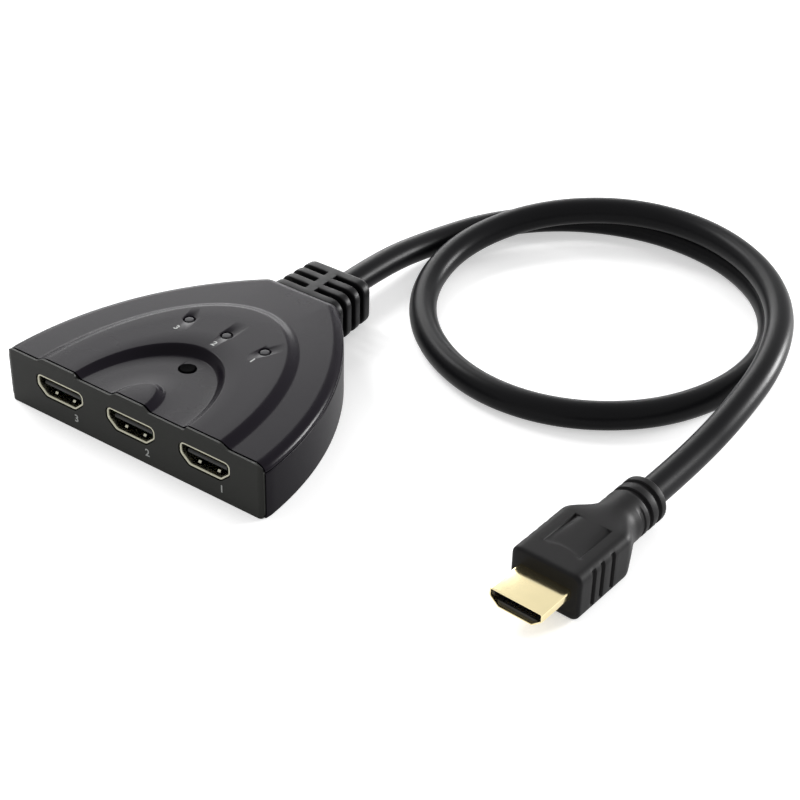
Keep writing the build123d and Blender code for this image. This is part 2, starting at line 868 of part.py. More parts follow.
with BuildPart() as memory_chips:
    with Locations(*[(x, y, board_top + chip_lift) for x, y in memory_places]):
        Box(memory_width, memory_length, memory_height, align=on_top)
memory_chips.part.label = "memory_chips"

with BuildPart() as control_chip:
    with Locations((*control_place, board_top + chip_lift)):
        Box(control_width, control_length, control_height, align=on_top)
    chamfer(control_chip.faces().sort_by(Axis.Z)[-1].edges(), chip_edge)
control_chip.part.label = "control_chip"

quad_row = gull_pins(16, 0.5, 1.0, 0.8)
memory_row = gull_pins(4, 1.27, 1.1, 0.8)
control_row = gull_pins(8, 1.27, 1.2, 0.9)
with BuildPart() as chip_leads:
    for turn in range(4):
        with Locations(
            Location((*main_chip, board_top), (0, 0, 90 * turn)) * Location((main_chip_size / 2, 0, 0))
        ):
            add(quad_row)
    for turn in range(2):
        for place in memory_places:
            with Locations(
                Location((*place, board_top), (0, 0, 180 * turn)) * Location((memory_width / 2, 0, 0))
            ):
                add(memory_row)
        with Locations(
            Location((*control_place, board_top), (0, 0, 180 * turn)) * Location((control_width / 2, 0, 0))
        ):
            add(control_row)
chip_leads.part.label = "chip_leads"

# Crystal and small ceramic parts
crystal_place = (0, button_centre[1] + 8.8)
with BuildPart() as crystal:
    with BuildSketch(Plane.XY.offset(board_top)):
        with Locations(crystal_place):
            SlotOverall(crystal_length + 2 * crystal_rim, crystal_width + 2 * crystal_rim)
    extrude(amount=crystal_rim)
    with BuildSketch(Plane.XY.offset(board_top + crystal_rim)):
        with Locations(crystal_place):
            SlotOverall(crystal_length, crystal_width)
    extrude(amount=crystal_height - crystal_rim)
    fillet(crystal.faces().sort_by(Axis.Z)[-1].edges(), crystal_rim)
crystal.part.label = "crystal"

with BuildPart() as ceramic_parts:
    with Locations((0, front_y + lamp_y + 6.3, board_top)):
        with GridLocations(3.4, 2.6, 9, 2):
            Box(*capacitor, align=on_top)
    for side_x in (main_chip[0], control_place[0]):
        with Locations((side_x, front_y + lamp_y + 1.7, board_top)):
            with GridLocations(2.8, 2.2, 3, 1):
                Box(*capacitor, align=on_top)
    for step in (-2, 2):
        with Locations((-6, button_centre[1] + step, board_top)):
            Box(*capacitor, align=on_top)
ceramic_parts.part.label = "ceramic_parts"

# Four identical self-tapping screws
with BuildPart() as case_screws:
    with Locations(*[(x, y, screw_recess - screw_head_height) for x, y in screw_points]):
        Cylinder(screw_head / 2, screw_head_height, align=on_top)
        Cylinder(
            screw_shank / 2,
            screw_head_height + screw_length,
            align=on_top,
        )
        Box(screw_cross_width, screw_cross, screw_cross_depth, mode=Mode.SUBTRACT)
        Box(screw_cross, screw_cross_width, screw_cross_depth, mode=Mode.SUBTRACT)
case_screws.part.label = "case_screws"

# Rear boot: outer slotted body, neck through the rear wall, flange inside
with BuildPart() as strain_relief:
    with BuildSketch(Plane.XZ.offset(-(rear_y + snug_gap))):
        with Locations((0, relief_z)):
            RectangleRounded(relief_front_width, relief_front_height, relief_corner)
    with BuildSketch(Plane.XZ.offset(-relief_end_y)):
        with Locations((0, relief_z)):
            RectangleRounded(relief_rear_width, relief_rear_height, relief_corner)
    loft(ruled=True)
    end_edges = strain_relief.faces().sort_by(Axis.Y)[-1].edges()
    fillet(end_edges, relief_end_round)
    for i in range(3):
        slot_y = rear_y + relief_first_slot + relief_slot_pitch * i
        with BuildSketch(Plane.XZ.offset(-(slot_y - relief_slot / 2))):
            Rectangle(2 * relief_front_width, 2 * part_line + relief_front_height)
            with Locations((0, relief_z)):
                Rectangle(relief_spine, 2 * relief_front_height, mode=Mode.SUBTRACT)
            with Locations((0, cable_z)):
                Circle(relief_core / 2, mode=Mode.SUBTRACT)
        extrude(amount=-relief_slot, mode=Mode.SUBTRACT)
    with BuildSketch(Plane.XZ.offset(-(rear_y - wall - snug_gap))):
        with Locations((0, neck_low)):
            Rectangle(2 * neck_half_width, neck_high - neck_low, align=(Align.CENTER, Align.MIN))
    extrude(amount=-(wall + 2 * snug_gap))
    with BuildSketch(Plane.XZ.offset(-(rear_y - wall - snug_gap))):
        with Locations((0, inner_flange_low)):
            Rectangle(
                2 * inner_flange_half_width,
                inner_flange_high - inner_flange_low,
                align=(Align.CENTER, Align.MIN),
            )
    extrude(amount=inner_flange_thickness)
    with Locations((0, rear_y, cable_z)):
        Cylinder(
            cable_diameter / 2 + snug_gap,
            4 * relief_reach,
            rotation=(90, 0, 0),
            mode=Mode.SUBTRACT,
        )
strain_relief.part.label = "strain_relief"

# End of the cable inside the boot and the box, its clamp and its wires
with BuildPart() as cable_tail:
    with BuildSketch(Plane.XZ.offset(-(front_y + tail_start))):
        with Locations((0, cable_z)):
            Circle(cable_diameter / 2)
    extrude(amount=-(relief_end_y - front_y - tail_start))
cable_tail.part.label = "cable_tail"

with BuildPart() as cable_clamp:
    with BuildSketch(Plane.XZ.offset(-(front_y + clamp_start))):
        with Locations((0, cable_z)):
            Circle(clamp_diameter / 2)
            Circle(cable_diameter / 2 + snug_gap, mode=Mode.SUBTRACT)
    extrude(amount=-clamp_length)
    with Locations((0, front_y + clamp_start + clamp_length / 2, cable_z + clamp_diameter / 2)):
        Box(clamp_lug, clamp_length, clamp_lug_height)
cable_clamp.part.label = "cable_clamp"

with BuildPart() as cable_wires:
    for i in range(wire_count):
        step = i - (wire_count - 1) / 2
        high = cable_z + wire_crown - wire_fall * abs(step)
        low = board_top + wire_diameter / 2 + wire_lift
        with BuildLine() as wire_line:
            FilletPolyline(
                (step * wire_spread, front_y + tail_start, high),
                (step * wire_spread, front_y + tail_start - 2 * wire_diameter, high),
                (step * wire_pitch, front_y + wire_end + 3 * wire_diameter, low),
                (step * wire_pitch, front_y + wire_end, low),
                radius=2 * wire_diameter,
            )
        with BuildSketch(Plane(origin=wire_line.line @ 0, z_dir=wire_line.line % 0)):
            Circle(wire_diameter / 2)
        sweep(path=wire_line.line)
cable_wires.part.label = "cable_wires"

# Plug on the free end: planes run back from its mouth along its own axis
plug_back = Vector(sin(radians(plug_yaw)), cos(radians(plug_yaw)), 0)
plug_mouth = Vector(plug_mouth_x, plug_mouth_y, plug_z)
plug_across = Vector(cos(radians(plug_yaw)), -sin(radians(plug_yaw)), 0)
plug_plane = Plane(origin=plug_mouth, x_dir=plug_across, z_dir=-plug_back)
plug_lengthwise = Plane(origin=plug_mouth, x_dir=plug_back, z_dir=plug_across)
plug_body_start = plug_shell_reach


def plug_section(margin):
    """Outline of the plug's shell, grown by a margin."""
    return port_section(margin, plug_shell_width, plug_shell_height, plug_low_width, plug_shell_corner)


with BuildPart() as plug_shell:
    with BuildSketch(plug_plane):
        add(plug_section(0))
        add(plug_section(-plug_shell_thickness), mode=Mode.SUBTRACT)
    extrude(amount=-(plug_shell_reach + plug_shell_hidden))
plug_shell.part.label = "plug_shell"

with BuildPart() as plug_contacts:
    for count, height in plug_contact_rows:
        for i in range(count):
            strip_x = contact_pitch * (i - (count - 1) / 2)
            with BuildSketch(plug_plane.offset(-plug_contact_start)):
                with Locations((strip_x, height)):
                    Rectangle(contact_width, contact_thickness, align=(Align.CENTER, Align.MIN))
            extrude(amount=-(plug_shell_reach + plug_shell_hidden - plug_contact_start))
plug_contacts.part.label = "plug_contacts"

with BuildPart() as plug_insulator:
    insulator_section = plug_section(-plug_shell_thickness - snug_gap)
    with BuildSketch(plug_plane.offset(-plug_slot_start)):
        add(insulator_section)
        Rectangle(plug_slot_width, plug_slot_height, mode=Mode.SUBTRACT)
    extrude(amount=-(plug_slot_end - plug_slot_start))
    with BuildSketch(plug_plane.offset(-plug_slot_end)):
        add(insulator_section)
    extrude(amount=-(plug_shell_reach + plug_shell_hidden - plug_slot_end - plug_insulator_gap))
    add(plug_contacts.part, mode=Mode.SUBTRACT)
plug_insulator.part.label = "plug_insulator"

with BuildPart() as plug_housing:
    with BuildSketch(plug_plane.offset(-plug_body_start)):
        RectangleRounded(plug_body_width, plug_body_height, plug_body_corner)
    extrude(amount=-(plug_body_end - plug_body_start))
    fillet(plug_housing.faces().sort_by(Axis.Y)[0].edges(), plug_front_round)
    with BuildSketch(plug_plane.offset(-plug_body_end)):
        RectangleRounded(plug_body_width, plug_body_height, plug_body_corner)
    with BuildSketch(plug_plane.offset(-plug_shoulder_end)):
        RectangleRounded(plug_neck_diameter, plug_neck_diameter, plug_neck_diameter / 2 - 0.1)
    loft()
    with BuildSketch(plug_plane.offset(-plug_shoulder_end)):
        Circle(plug_neck_diameter / 2)
    extrude(amount=-(plug_end - plug_shoulder_end))
    # Thumb recess in the top, deeper to the rear
    with BuildSketch(plug_lengthwise.offset(-plug_recess_half_width)):
        with BuildLine():
            Polyline(
                (plug_recess_start, plug_body_height / 2 - plug_recess_shallow),
                (plug_recess_end, plug_body_height / 2 - plug_recess_deep),
                (plug_recess_end, plug_body_height),
                (plug_recess_start, plug_body_height),
                close=True,
            )
        make_face()
    extrude(amount=2 * plug_recess_half_width, mode=Mode.SUBTRACT)
    # Ring grooves of the neck and grip grooves of the sides
    for ring in plug_rings:
        with BuildSketch(plug_plane.offset(-ring)):
            Circle(plug_neck_diameter)
            Circle(plug_neck_diameter / 2 - plug_ring_depth, mode=Mode.SUBTRACT)
        extrude(amount=-plug_ring_width, mode=Mode.SUBTRACT)
    for rib in plug_rib_places:
        with BuildSketch(plug_plane.offset(-rib)):
            with Locations(
                (-plug_body_width / 2, plug_rib_rise),
                (plug_body_width / 2, plug_rib_rise),
            ):
                Rectangle(2 * plug_rib_depth, plug_rib_height)
        extrude(amount=-plug_rib_width, mode=Mode.SUBTRACT)
    with BuildSketch(plug_plane.offset(-plug_body_start)):
        add(plug_section(snug_gap))
    extrude(amount=-(plug_shell_hidden + 0.1), mode=Mode.SUBTRACT)
plug_housing.part.label = "plug_housing"

# Free cord: straight runs joined by tangent arcs
cord_end = plug_mouth + plug_back * plug_end
cord_points = [Vector(x, relief_end_y + y, z) for x, y, z in cord_route]
cord_points.append(cord_end + plug_back * cord_last_run)
cord_points.append(cord_end)
cord_turns = []
for before, corner, after in zip(cord_points, cord_points[1:], cord_points[2:]):
    arriving = corner - before
    leaving = after - corner
    half_turn = radians(arriving.get_angle(leaving)) / 2
    cord_turns.append(cord_arc_share * min(arriving.length, leaving.length) / tan(half_turn))
print("cord arc radii:", [round(turn, 1) for turn in cord_turns])
with BuildPart() as cable:
    with BuildLine() as cord_line:
        FilletPolyline(*cord_points, radius=cord_turns)
    with BuildSketch(Plane(origin=cord_line.line @ 0, z_dir=cord_line.line % 0)):
        Circle(cable_diameter / 2)
    sweep(path=cord_line.line)
cable.part.label = "cable"
cord_length = cord_line.wire().length
print("cord length:", round(cord_length, 1))
cord_section = pi * (cable_diameter / 2) ** 2
print("cord volume against section times length:", round(cable.part.volume / cord_section / cord_length, 4))

pieces = [
    bottom_case.part,
    top_cover.part,
    front_panel.part,
    *ports,
    main_board.part,
    *lamps,
    led_leads.part,
    switch_body.part,
    switch_cover.part,
    switch_plunger.part,
    switch_dome.part,
    switch_legs.part,
    select_button.part,
    switch_chip.part,
    memory_chips.part,
    control_chip.part,
    chip_leads.part,
    crystal.part,
    ceramic_parts.part,
    case_screws.part,
    strain_relief.part,
    cable_tail.part,
    cable_clamp.part,
    cable_wires.part,
    plug_shell.part,
    plug_contacts.part,
    plug_insulator.part,
    plug_housing.part,
    cable.part,
]
for piece in pieces:
    box = piece.bounding_box()
    print(f"{piece.label:18s} volume {piece.volume:10.2f}  z {box.min.Z:6.2f} to {box.max.Z:6.2f}")
    export_step(piece, f"parts/{piece.label}.step")
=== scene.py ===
import math

import bmesh
import bpy
from mathutils import Matrix, Vector


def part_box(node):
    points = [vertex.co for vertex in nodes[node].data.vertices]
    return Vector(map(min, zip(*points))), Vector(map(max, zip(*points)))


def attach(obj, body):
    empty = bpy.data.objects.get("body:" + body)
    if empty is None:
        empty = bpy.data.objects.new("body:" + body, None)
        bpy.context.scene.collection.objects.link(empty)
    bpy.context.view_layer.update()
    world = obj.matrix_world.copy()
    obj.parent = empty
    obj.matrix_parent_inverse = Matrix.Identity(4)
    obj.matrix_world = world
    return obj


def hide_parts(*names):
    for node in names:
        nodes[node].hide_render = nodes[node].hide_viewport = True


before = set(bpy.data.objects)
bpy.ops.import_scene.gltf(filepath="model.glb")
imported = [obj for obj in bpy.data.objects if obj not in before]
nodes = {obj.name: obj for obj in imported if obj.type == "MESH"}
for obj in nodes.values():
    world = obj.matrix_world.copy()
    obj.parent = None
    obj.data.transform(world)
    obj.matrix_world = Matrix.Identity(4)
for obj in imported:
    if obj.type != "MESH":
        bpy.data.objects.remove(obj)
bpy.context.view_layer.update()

mm = 0.001
bpy.context.scene.view_settings.view_transform = "Standard"
print("frame loaded,", len(nodes), "nodes")

# Camera, fitted to the photograph
photoView = {
    "place": (0.2552, -0.29425, 0.2643),
    "azimuth": 35.0,
    "elevation": 34.78,
    "roll": 1.53,
    "lens": 82.74,
    "sensor": 36.0,
}


def addCamera(view):
    azimuth = math.radians(view["azimuth"])
    elevation = math.radians(view["elevation"])
    roll = math.radians(view["roll"])
    ahead = Vector(
        (
            -math.sin(azimuth) * math.cos(elevation),
            math.cos(azimuth) * math.cos(elevation),
            -math.sin(elevation),
        )
    )
    level = Vector((math.cos(azimuth), math.sin(azimuth), 0))
    upright = level.cross(ahead)
    right = math.cos(roll) * level + math.sin(roll) * upright
    up = -math.sin(roll) * level + math.cos(roll) * upright
    lens = bpy.data.cameras.new("photoCamera")
    lens.lens = view["lens"]
    lens.sensor_width = view["sensor"]
    camera = bpy.data.objects.new("photoCamera", lens)
    bpy.context.scene.collection.objects.link(camera)
    turn = Matrix((right, up, -ahead)).transposed()
    camera.matrix_world = Matrix.Translation(view["place"]) @ turn.to_4x4()
    bpy.context.scene.camera = camera


addCamera(photoView)

# Studio: pale floor, white surroundings and soft lamps
studio = {
    "floorTone": 0.80,
    "floorGlow": 0.48,
    "floorHalf": 6.0,
    "floorDrop": 0.00002,
    "worldDiffuse": 0.58,
    "aim": (0.04, 0.02, 0),
    "lamps": {
        "rearSoftbox": {"place": (-0.41, 0.36, 0.35), "size": (0.44, 0.44), "power": 2.05},
        "keyLamp": {"place": (-0.75, 0.12, 0.75), "size": (0.35, 0.35), "power": 4.6},
        "edgeLamp": {"place": (0.55, 0.82, 0.18), "size": (0.30, 0.30), "power": 15.0},
        "lowStrip": {"place": (-0.60, 0.86, 0.17), "size": (0.84, 0.16), "power": 2.3},
    },
}


def newMaterial(name):
    material = bpy.data.materials.new(name)
    material.use_nodes = True
    tree = material.node_tree
    for node in list(tree.nodes):
        if node.type != "OUTPUT_MATERIAL":
            tree.nodes.remove(node)
    return material, tree, tree.nodes["Material Output"]


def addNode(tree, kind, inputs, **settings):
    # shader node whose inputs get a value each, or a link from another node's output
    node = tree.nodes.new("ShaderNode" + kind)
    for setting, value in settings.items():
        setattr(node, setting, value)
    for key, value in inputs.items():
        if isinstance(value, bpy.types.NodeSocket):
            tree.links.new(value, node.inputs[key])
        else:
            node.inputs[key].default_value = value
    return node


def seenDirectly(tree):
    # 1 for camera, mirror and clear rays, 0 for scattered light
    path = addNode(tree, "LightPath", {})
    seen = path.outputs["Is Camera Ray"]
    for ray in ("Is Glossy Ray", "Is Transmission Ray"):
        seen = addNode(tree, "Math", {0: seen, 1: path.outputs[ray]}, operation="MAXIMUM").outputs[0]
    return seen


def addFloor(values):
    material, tree, output = newMaterial("paleFloor")
    diffuse = addNode(tree, "BsdfDiffuse", {"Color": (values["floorTone"],) * 3 + (1,)})
    strength = {0: seenDirectly(tree), 1: values["floorGlow"]}
    share = addNode(tree, "Math", strength, operation="MULTIPLY")
    glow = addNode(tree, "Emission", {"Strength": share.outputs[0]})
    both = addNode(tree, "AddShader", {0: diffuse.outputs[0], 1: glow.outputs[0]})
    tree.links.new(both.outputs[0], output.inputs["Surface"])
    mesh = bpy.data.meshes.new("floor")
    half = values["floorHalf"]
    mesh.from_pydata(
        [(-half, -half, 0), (half, -half, 0), (half, half, 0), (-half, half, 0)],
        [],
        [(0, 1, 2, 3)],
    )
    floor = bpy.data.objects.new("floor", mesh)
    floor.location.z = -values["floorDrop"]
    mesh.materials.append(material)
    bpy.context.scene.collection.objects.link(floor)


def addWorld(values):
    world = bpy.data.worlds.new("whiteRoom")
    bpy.context.scene.world = world
    world.use_nodes = True
    tree = world.node_tree
    background = tree.nodes["Background"]
    background.inputs["Color"].default_value = (1, 1, 1, 1)
    span = {"Value": seenDirectly(tree), "To Min": values["worldDiffuse"], "To Max": 1.0}
    strength = addNode(tree, "MapRange", span)
    tree.links.new(strength.outputs[0], background.inputs["Strength"])


def addLamp(name, values, aim):
    lamp = bpy.data.lights.new(name, "AREA")
    lamp.shape = "ELLIPSE"
    lamp.size, lamp.size_y = values["size"]
    lamp.energy = values["power"]
    lampObject = bpy.data.objects.new(name, lamp)
    lampObject.location = values["place"]
    lampObject.visible_camera = False
    direction = Vector(aim) - Vector(values["place"])
    lampObject.rotation_euler = direction.to_track_quat("-Z", "Y").to_euler()
    bpy.context.scene.collection.objects.link(lampObject)


addFloor(studio)
addWorld(studio)
for lampName, lampValues in studio["lamps"].items():
    addLamp(lampName, lampValues, studio["aim"])
print("camera and studio set")


# Procedural finishes, with what a finish leaves out
plainFinish = {
    "metal": 0,
    "specular": 0.5,
    "coat": 0,
    "coatRoughness": 0.2,
    "cloudScale": 60,
    "toneSpread": 0.12,
    "roughSwing": 0.05,
    "grainScale": 2500,
    "grainDepth": 0.00005,
    "stretch": (1, 1, 1),
}


def makeFinish(name, own):
    values = {**plainFinish, **own}
    material, tree, output = newMaterial(name)
    place = addNode(tree, "TexCoord", {}).outputs["Object"]
    # slow changes of tone, and of gloss with them
    cloud = addNode(tree, "TexNoise", {"Vector": place, "Scale": values["cloudScale"], "Detail": 3})
    shade = cloud.outputs["Fac"]
    low = [c * (1 - values["toneSpread"]) for c in values["colour"]]
    high = [min(1, c * (1 + values["toneSpread"])) for c in values["colour"]]
    tone = addNode(tree, "Mix", {"Factor": shade, "A": (*low, 1), "B": (*high, 1)}, data_type="RGBA")
    rough, swing = values["roughness"], values["roughSwing"]
    span = {"Value": shade, "To Min": max(0.02, rough - swing), "To Max": min(1, rough + swing)}
    gloss = addNode(tree, "MapRange", span)
    # fine moulded or drawn texture
    drawn = addNode(tree, "Mapping", {"Vector": place, "Scale": values["stretch"]}).outputs[0]
    grain = addNode(tree, "TexNoise", {"Vector": drawn, "Scale": values["grainScale"], "Detail": 4})
    depth = values["grainDepth"]
    relief = {"Height": grain.outputs["Fac"], "Strength": values["grain"], "Distance": depth}
    surface = {
        "Base Color": tone.outputs["Result"],
        "Roughness": gloss.outputs[0],
        "Normal": addNode(tree, "Bump", relief).outputs[0],
        "Metallic": values["metal"],
        "Specular IOR Level": values["specular"],
        "Coat Weight": values["coat"],
        "Coat Roughness": values["coatRoughness"],
    }
    shader = addNode(tree, "BsdfPrincipled", surface)
    tree.links.new(shader.outputs[0], output.inputs["Surface"])
    return material


finishes = {
    "satinCoverPaintedSheenTint": {
        # near-black plastic; the purple tint of this colour is painted sheen, standing in for tinted
        # reflections on the cover
        "colour": (0.0062, 0.0049, 0.0076),
        "roughness": 0.26,
        "grain": 0.12,
        "specular": 0.055,
    },
    "satinCasePaintedShade": {
        # the same near-black plastic as the cover, set darker as painted shade on the side walls that
        # face away from the lamps, with the same purple tint as painted sheen
        "colour": (0.0048, 0.0040, 0.0058),
        "roughness": 0.34,
        "grain": 0.18,
        "specular": 0.04,
    },
    "satinPanel": {
        "colour": (0.013, 0.0135, 0.0115),
        "roughness": 0.45,
        "grain": 0.18,
        "specular": 0.15,
    },
    "nickelPlate": {
        "colour": (0.40, 0.39, 0.31),
        "roughness": 0.26,
        "metal": 1,
        "grain": 0.05,
        "stretch": (1, 0.1, 1),
    },
    "blackNylon": {"colour": (0.012, 0.012, 0.012), "roughness": 0.55, "grain": 0.2},
    "goldFlash": {"colour": (0.90, 0.70, 0.32), "roughness": 0.2, "metal": 1, "grain": 0.05},
    "goldPlate": {
        "colour": (0.84, 0.73, 0.44),
        "roughness": 0.15,
        "metal": 1,
        "grain": 0.06,
        "stretch": (1, 0.15, 1),
    },
    "greenMask": {"colour": (0.010, 0.110, 0.045), "roughness": 0.3, "coat": 0.4, "grain": 0.1},
    "smokedLens": {
        "colour": (0.030, 0.029, 0.032),
        "roughness": 0.2,
        "grain": 0.02,
        "specular": 0.06,
    },
    "brightTin": {"colour": (0.75, 0.75, 0.74), "roughness": 0.3, "metal": 1, "grain": 0.1},
    "stampedSteel": {"colour": (0.60, 0.60, 0.60), "roughness": 0.35, "metal": 1, "grain": 0.12},
    "buttonBlack": {
        "colour": (0.0012, 0.0012, 0.0014),
        "roughness": 0.6,
        "grain": 0.12,
        "specular": 0.008,
    },
    "mattEpoxy": {"colour": (0.020, 0.020, 0.022), "roughness": 0.6, "grain": 0.3},
    "firedCeramic": {"colour": (0.42, 0.33, 0.22), "roughness": 0.6, "grain": 0.3},
    "zincPlate": {"colour": (0.55, 0.56, 0.58), "roughness": 0.32, "metal": 1, "grain": 0.1},
    "bootRubber": {
        "colour": (0.0045, 0.0045, 0.005),
        "roughness": 0.42,
        "grain": 0.2,
        "specular": 0.11,
    },
    "jacketBlack": {
        "colour": (0.0055, 0.0055, 0.0062),
        "roughness": 0.34,
        "grain": 0.22,
        "grainScale": 1400,
        "specular": 0.075,
    },
    "wireRed": {"colour": (0.45, 0.05, 0.04), "roughness": 0.45, "grain": 0.15},
    "plugBlack": {
        "colour": (0.0085, 0.0082, 0.0086),
        "roughness": 0.50,
        "grain": 0.2,
        "specular": 0.10,
    },
    "greyPrint": {"colour": (0.36, 0.37, 0.36), "roughness": 0.6, "grain": 0.2},
}
material = {name: makeFinish(name, values) for name, values in finishes.items()}

nodeFinish = {
    "hdmi_insulator": "blackNylon",
    "hdmi_contacts": "goldFlash",
    "hdmi_shell": "nickelPlate",
    "main_board": "greenMask",
    "led_leads": "brightTin",
    "led_": "smokedLens",
    "switch_cover": "stampedSteel",
    "switch_dome": "stampedSteel",
    "switch_legs": "brightTin",
    "switch_chip": "mattEpoxy",
    "switch_": "blackNylon",
    "memory_chips": "mattEpoxy",
    "control_chip": "mattEpoxy",
    "chip_leads": "brightTin",
    "crystal": "stampedSteel",
    "ceramic_parts": "firedCeramic",
    "case_screws": "zincPlate",
    "cable_clamp": "blackNylon",
    "cable_wires": "wireRed",
    "cable": "jacketBlack",
    "select_button": "buttonBlack",
    "strain_relief": "bootRubber",
    "plug_contacts": "goldFlash",
    "plug_insulator": "blackNylon",
    "plug_shell": "goldPlate",
    "plug_housing": "plugBlack",
    "front_panel": "satinPanel",
    "top_cover": "satinCoverPaintedSheenTint",
    "bottom_case": "satinCasePaintedShade",
}
for nodeName, nodeObject in nodes.items():
    for start, finishName in nodeFinish.items():
        if nodeName.startswith(start):
            nodeObject.data.materials.clear()
            nodeObject.data.materials.append(material[finishName])
            break
print("finishes made,", len(material))


# Mesh helpers; shapes are worked out in millimetres, and a form is a point list and a face list
smoothAngle = 32


def addPiece(name, form, finish, body="base"):
    points, faces = form
    mesh = bpy.data.meshes.new(name)
    mesh.from_pydata([tuple(c * mm for c in point) for point in points], [], faces)
    work = bmesh.new()
    work.from_mesh(mesh)
    bmesh.ops.remove_doubles(work, verts=work.verts, dist=1e-7)
    bmesh.ops.recalc_face_normals(work, faces=work.faces)
    work.to_mesh(mesh)
    work.free()
    piece = bpy.data.objects.new(name, mesh)
    bpy.context.scene.collection.objects.link(piece)
    mesh.materials.append(material[finish])
    smooth(piece)
    if body:
        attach(piece, body)
    return piece


def addCutter(name, form):
    return addPiece(name, form, "satinCoverPaintedSheenTint", body=None)


def smooth(piece):
    for face in piece.data.polygons:
        face.use_smooth = True
    piece.data.set_sharp_from_angle(angle=math.radians(smoothAngle))


def settle(piece):
    # turns the modifiers into mesh
    graph = bpy.context.evaluated_depsgraph_get()
    graph.update()
    made = bpy.data.meshes.new_from_object(piece.evaluated_get(graph))
    piece.modifiers.clear()
    piece.data = made
    smooth(piece)


def cut(piece, cutters):
    for cutter in cutters:
        step = piece.modifiers.new("cut", "BOOLEAN")
        step.operation = "DIFFERENCE"
        step.solver = "EXACT"
        step.object = cutter
    settle(piece)
    for cutter in cutters:
        bpy.data.objects.remove(cutter)
    even = piece.modifiers.new("evenShade", "WEIGHTED_NORMAL")
    even.keep_sharp = True


def absorb(piece, others):
    # adds the faces of other pieces to one piece
    work = bmesh.new()
    work.from_mesh(piece.data)
    for other in others:
        work.from_mesh(other.data)
        bpy.data.objects.remove(other)
    work.to_mesh(piece.data)
    work.free()


def gather(parts):
    # one form out of several
    points, faces = [], []
    for morePoints, moreFaces in parts:
        start = len(points)
        points += morePoints
        faces += [tuple(start + i for i in face) for face in moreFaces]
    return points, faces


def block(low, high):
    # box between two corners
    corners = [(low[0], low[1]), (high[0], low[1]), (high[0], high[1]), (low[0], high[1])]
    return loft([[(x, y, z) for x, y in corners] for z in (low[2], high[2])])


def soften(piece, width, segments=2, angle=40):
    # rounds the edges of a piece or of a carried-over node
    edge = piece.modifiers.new("softEdge", "BEVEL")
    edge.width = width * mm
    edge.segments = segments
    edge.limit_method = "ANGLE"
    edge.angle_limit = math.radians(angle)
    edge.harden_normals = True


def loft(rows, closed=True, ring=False):
    # form with faces between rows of equally many points, and over both end rows;
    # a ring joins the last row to the first instead
    count = len(rows[0])
    points = [point for row in rows for point in row]
    faces = []
    wrap = count if closed else count - 1
    for r in range(len(rows) - 1):
        for c in range(wrap):
            near, far = r * count, (r + 1) * count
            step = (c + 1) % count
            faces.append((near + c, near + step, far + step, far + c))
    if ring:
        last = (len(rows) - 1) * count
        for c in range(wrap):
            step = (c + 1) % count
            faces.append((last + c, last + step, step, c))
    else:
        faces.append(tuple(range(count)))
        faces.append(tuple((len(rows) - 1) * count + c for c in reversed(range(count))))
    return points, faces


def lathe(profile, centre, columns=48):
    # profile of (radius, height) turned about a vertical line
    angles = [2 * math.pi * c / columns for c in range(columns)]
    rows = [
        [(centre[0] + radius * math.cos(a), centre[1] + radius * math.sin(a), height) for a in angles]
        for radius, height in profile
    ]
    return loft(rows)


def quarterTurn(steps):
    # pairs of cosine and sine, from 0 to a right angle
    angles = [math.pi / 2 * k / steps for k in range(steps + 1)]
    return [(math.cos(angle), math.sin(angle)) for angle in angles]


def roundedLoop(corners, radius, margin, steps=6):
    # convex outline with round corners, grown by margin; corners run anticlockwise
    loop = []
    total = len(corners)
    for i in range(total):
        before = Vector(corners[i - 1])
        here = Vector(corners[i])
        after = Vector(corners[(i + 1) % total])
        intoEdge = (here - before).normalized()
        outEdge = (after - here).normalized()
        firstNormal = Vector((intoEdge.y, -intoEdge.x))
        lastNormal = Vector((outEdge.y, -outEdge.x))
        middle = (firstNormal + lastNormal).normalized()
        centre = here - middle * (radius / middle.dot(firstNormal))
        startAngle = math.atan2(firstNormal.y, firstNormal.x)
        sweep = math.acos(max(-1, min(1, firstNormal.dot(lastNormal))))
        for k in range(steps + 1):
            angle = startAngle + sweep * k / steps
            reach = radius + margin
            loop.append((centre.x + reach * math.cos(angle), centre.y + reach * math.sin(angle)))
    return loop


def blend(low, high, value):
    # 0 below low, 1 above high, smooth between
    t = max(0.0, min(1.0, (value - low) / (high - low)))
    return t * t * (3 - 2 * t)


# Free cord, first, as the plug hangs on it
cordShape = {
    "diameter": 0.0074,
    "length": 0.554,
    # beside and behind the middle of the boot's end, and above the table
    "points": [
        (0, 0, 0.0070),
        (0, 0.0187, 0.0070),
        (0.0020, 0.0387, 0.0048),
        (0.0085, 0.0607, 0.0037),
        (0.0245, 0.0782, 0.0037),
        (0.0475, 0.0872, 0.0037),
        (0.0720, 0.0847, 0.0037),
        (0.0920, 0.0717, 0.0037),
        (0.1035, 0.0502, 0.0037),
        (0.1035, 0.0257, 0.0037),
        (0.0930, 0.0037, 0.0037),
        (0.0730, -0.0103, 0.0037),
        (0.0495, -0.0118, 0.0037),
        (0.0275, -0.0003, 0.0037),
        (0.0130, 0.0197, 0.0037),
        (0.0100, 0.0432, 0.0060),
        (0.0200, 0.0652, 0.0090),
        (0.0395, 0.0802, 0.0107),
        (0.0630, 0.0837, 0.0112),
        (0.0855, 0.0747, 0.0115),
        (0.1020, 0.0567, 0.0118),
        (0.1105, 0.0332, 0.0115),
        (0.1120, 0.0097, 0.0090),
    ],
    "lastRun": 0.0183,
}
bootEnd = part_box("strain_relief")[1][1]
plugPlace = {"mouth": (0.1068, bootEnd - 0.0789, 0.0062), "yaw": 3.4, "end": 0.0503}
plugYaw = math.radians(plugPlace["yaw"])
plugBack = Vector((math.sin(plugYaw), math.cos(plugYaw), 0))
plugSide = Vector((math.cos(plugYaw), -math.sin(plugYaw), 0))
plugMouth = Vector(plugPlace["mouth"])


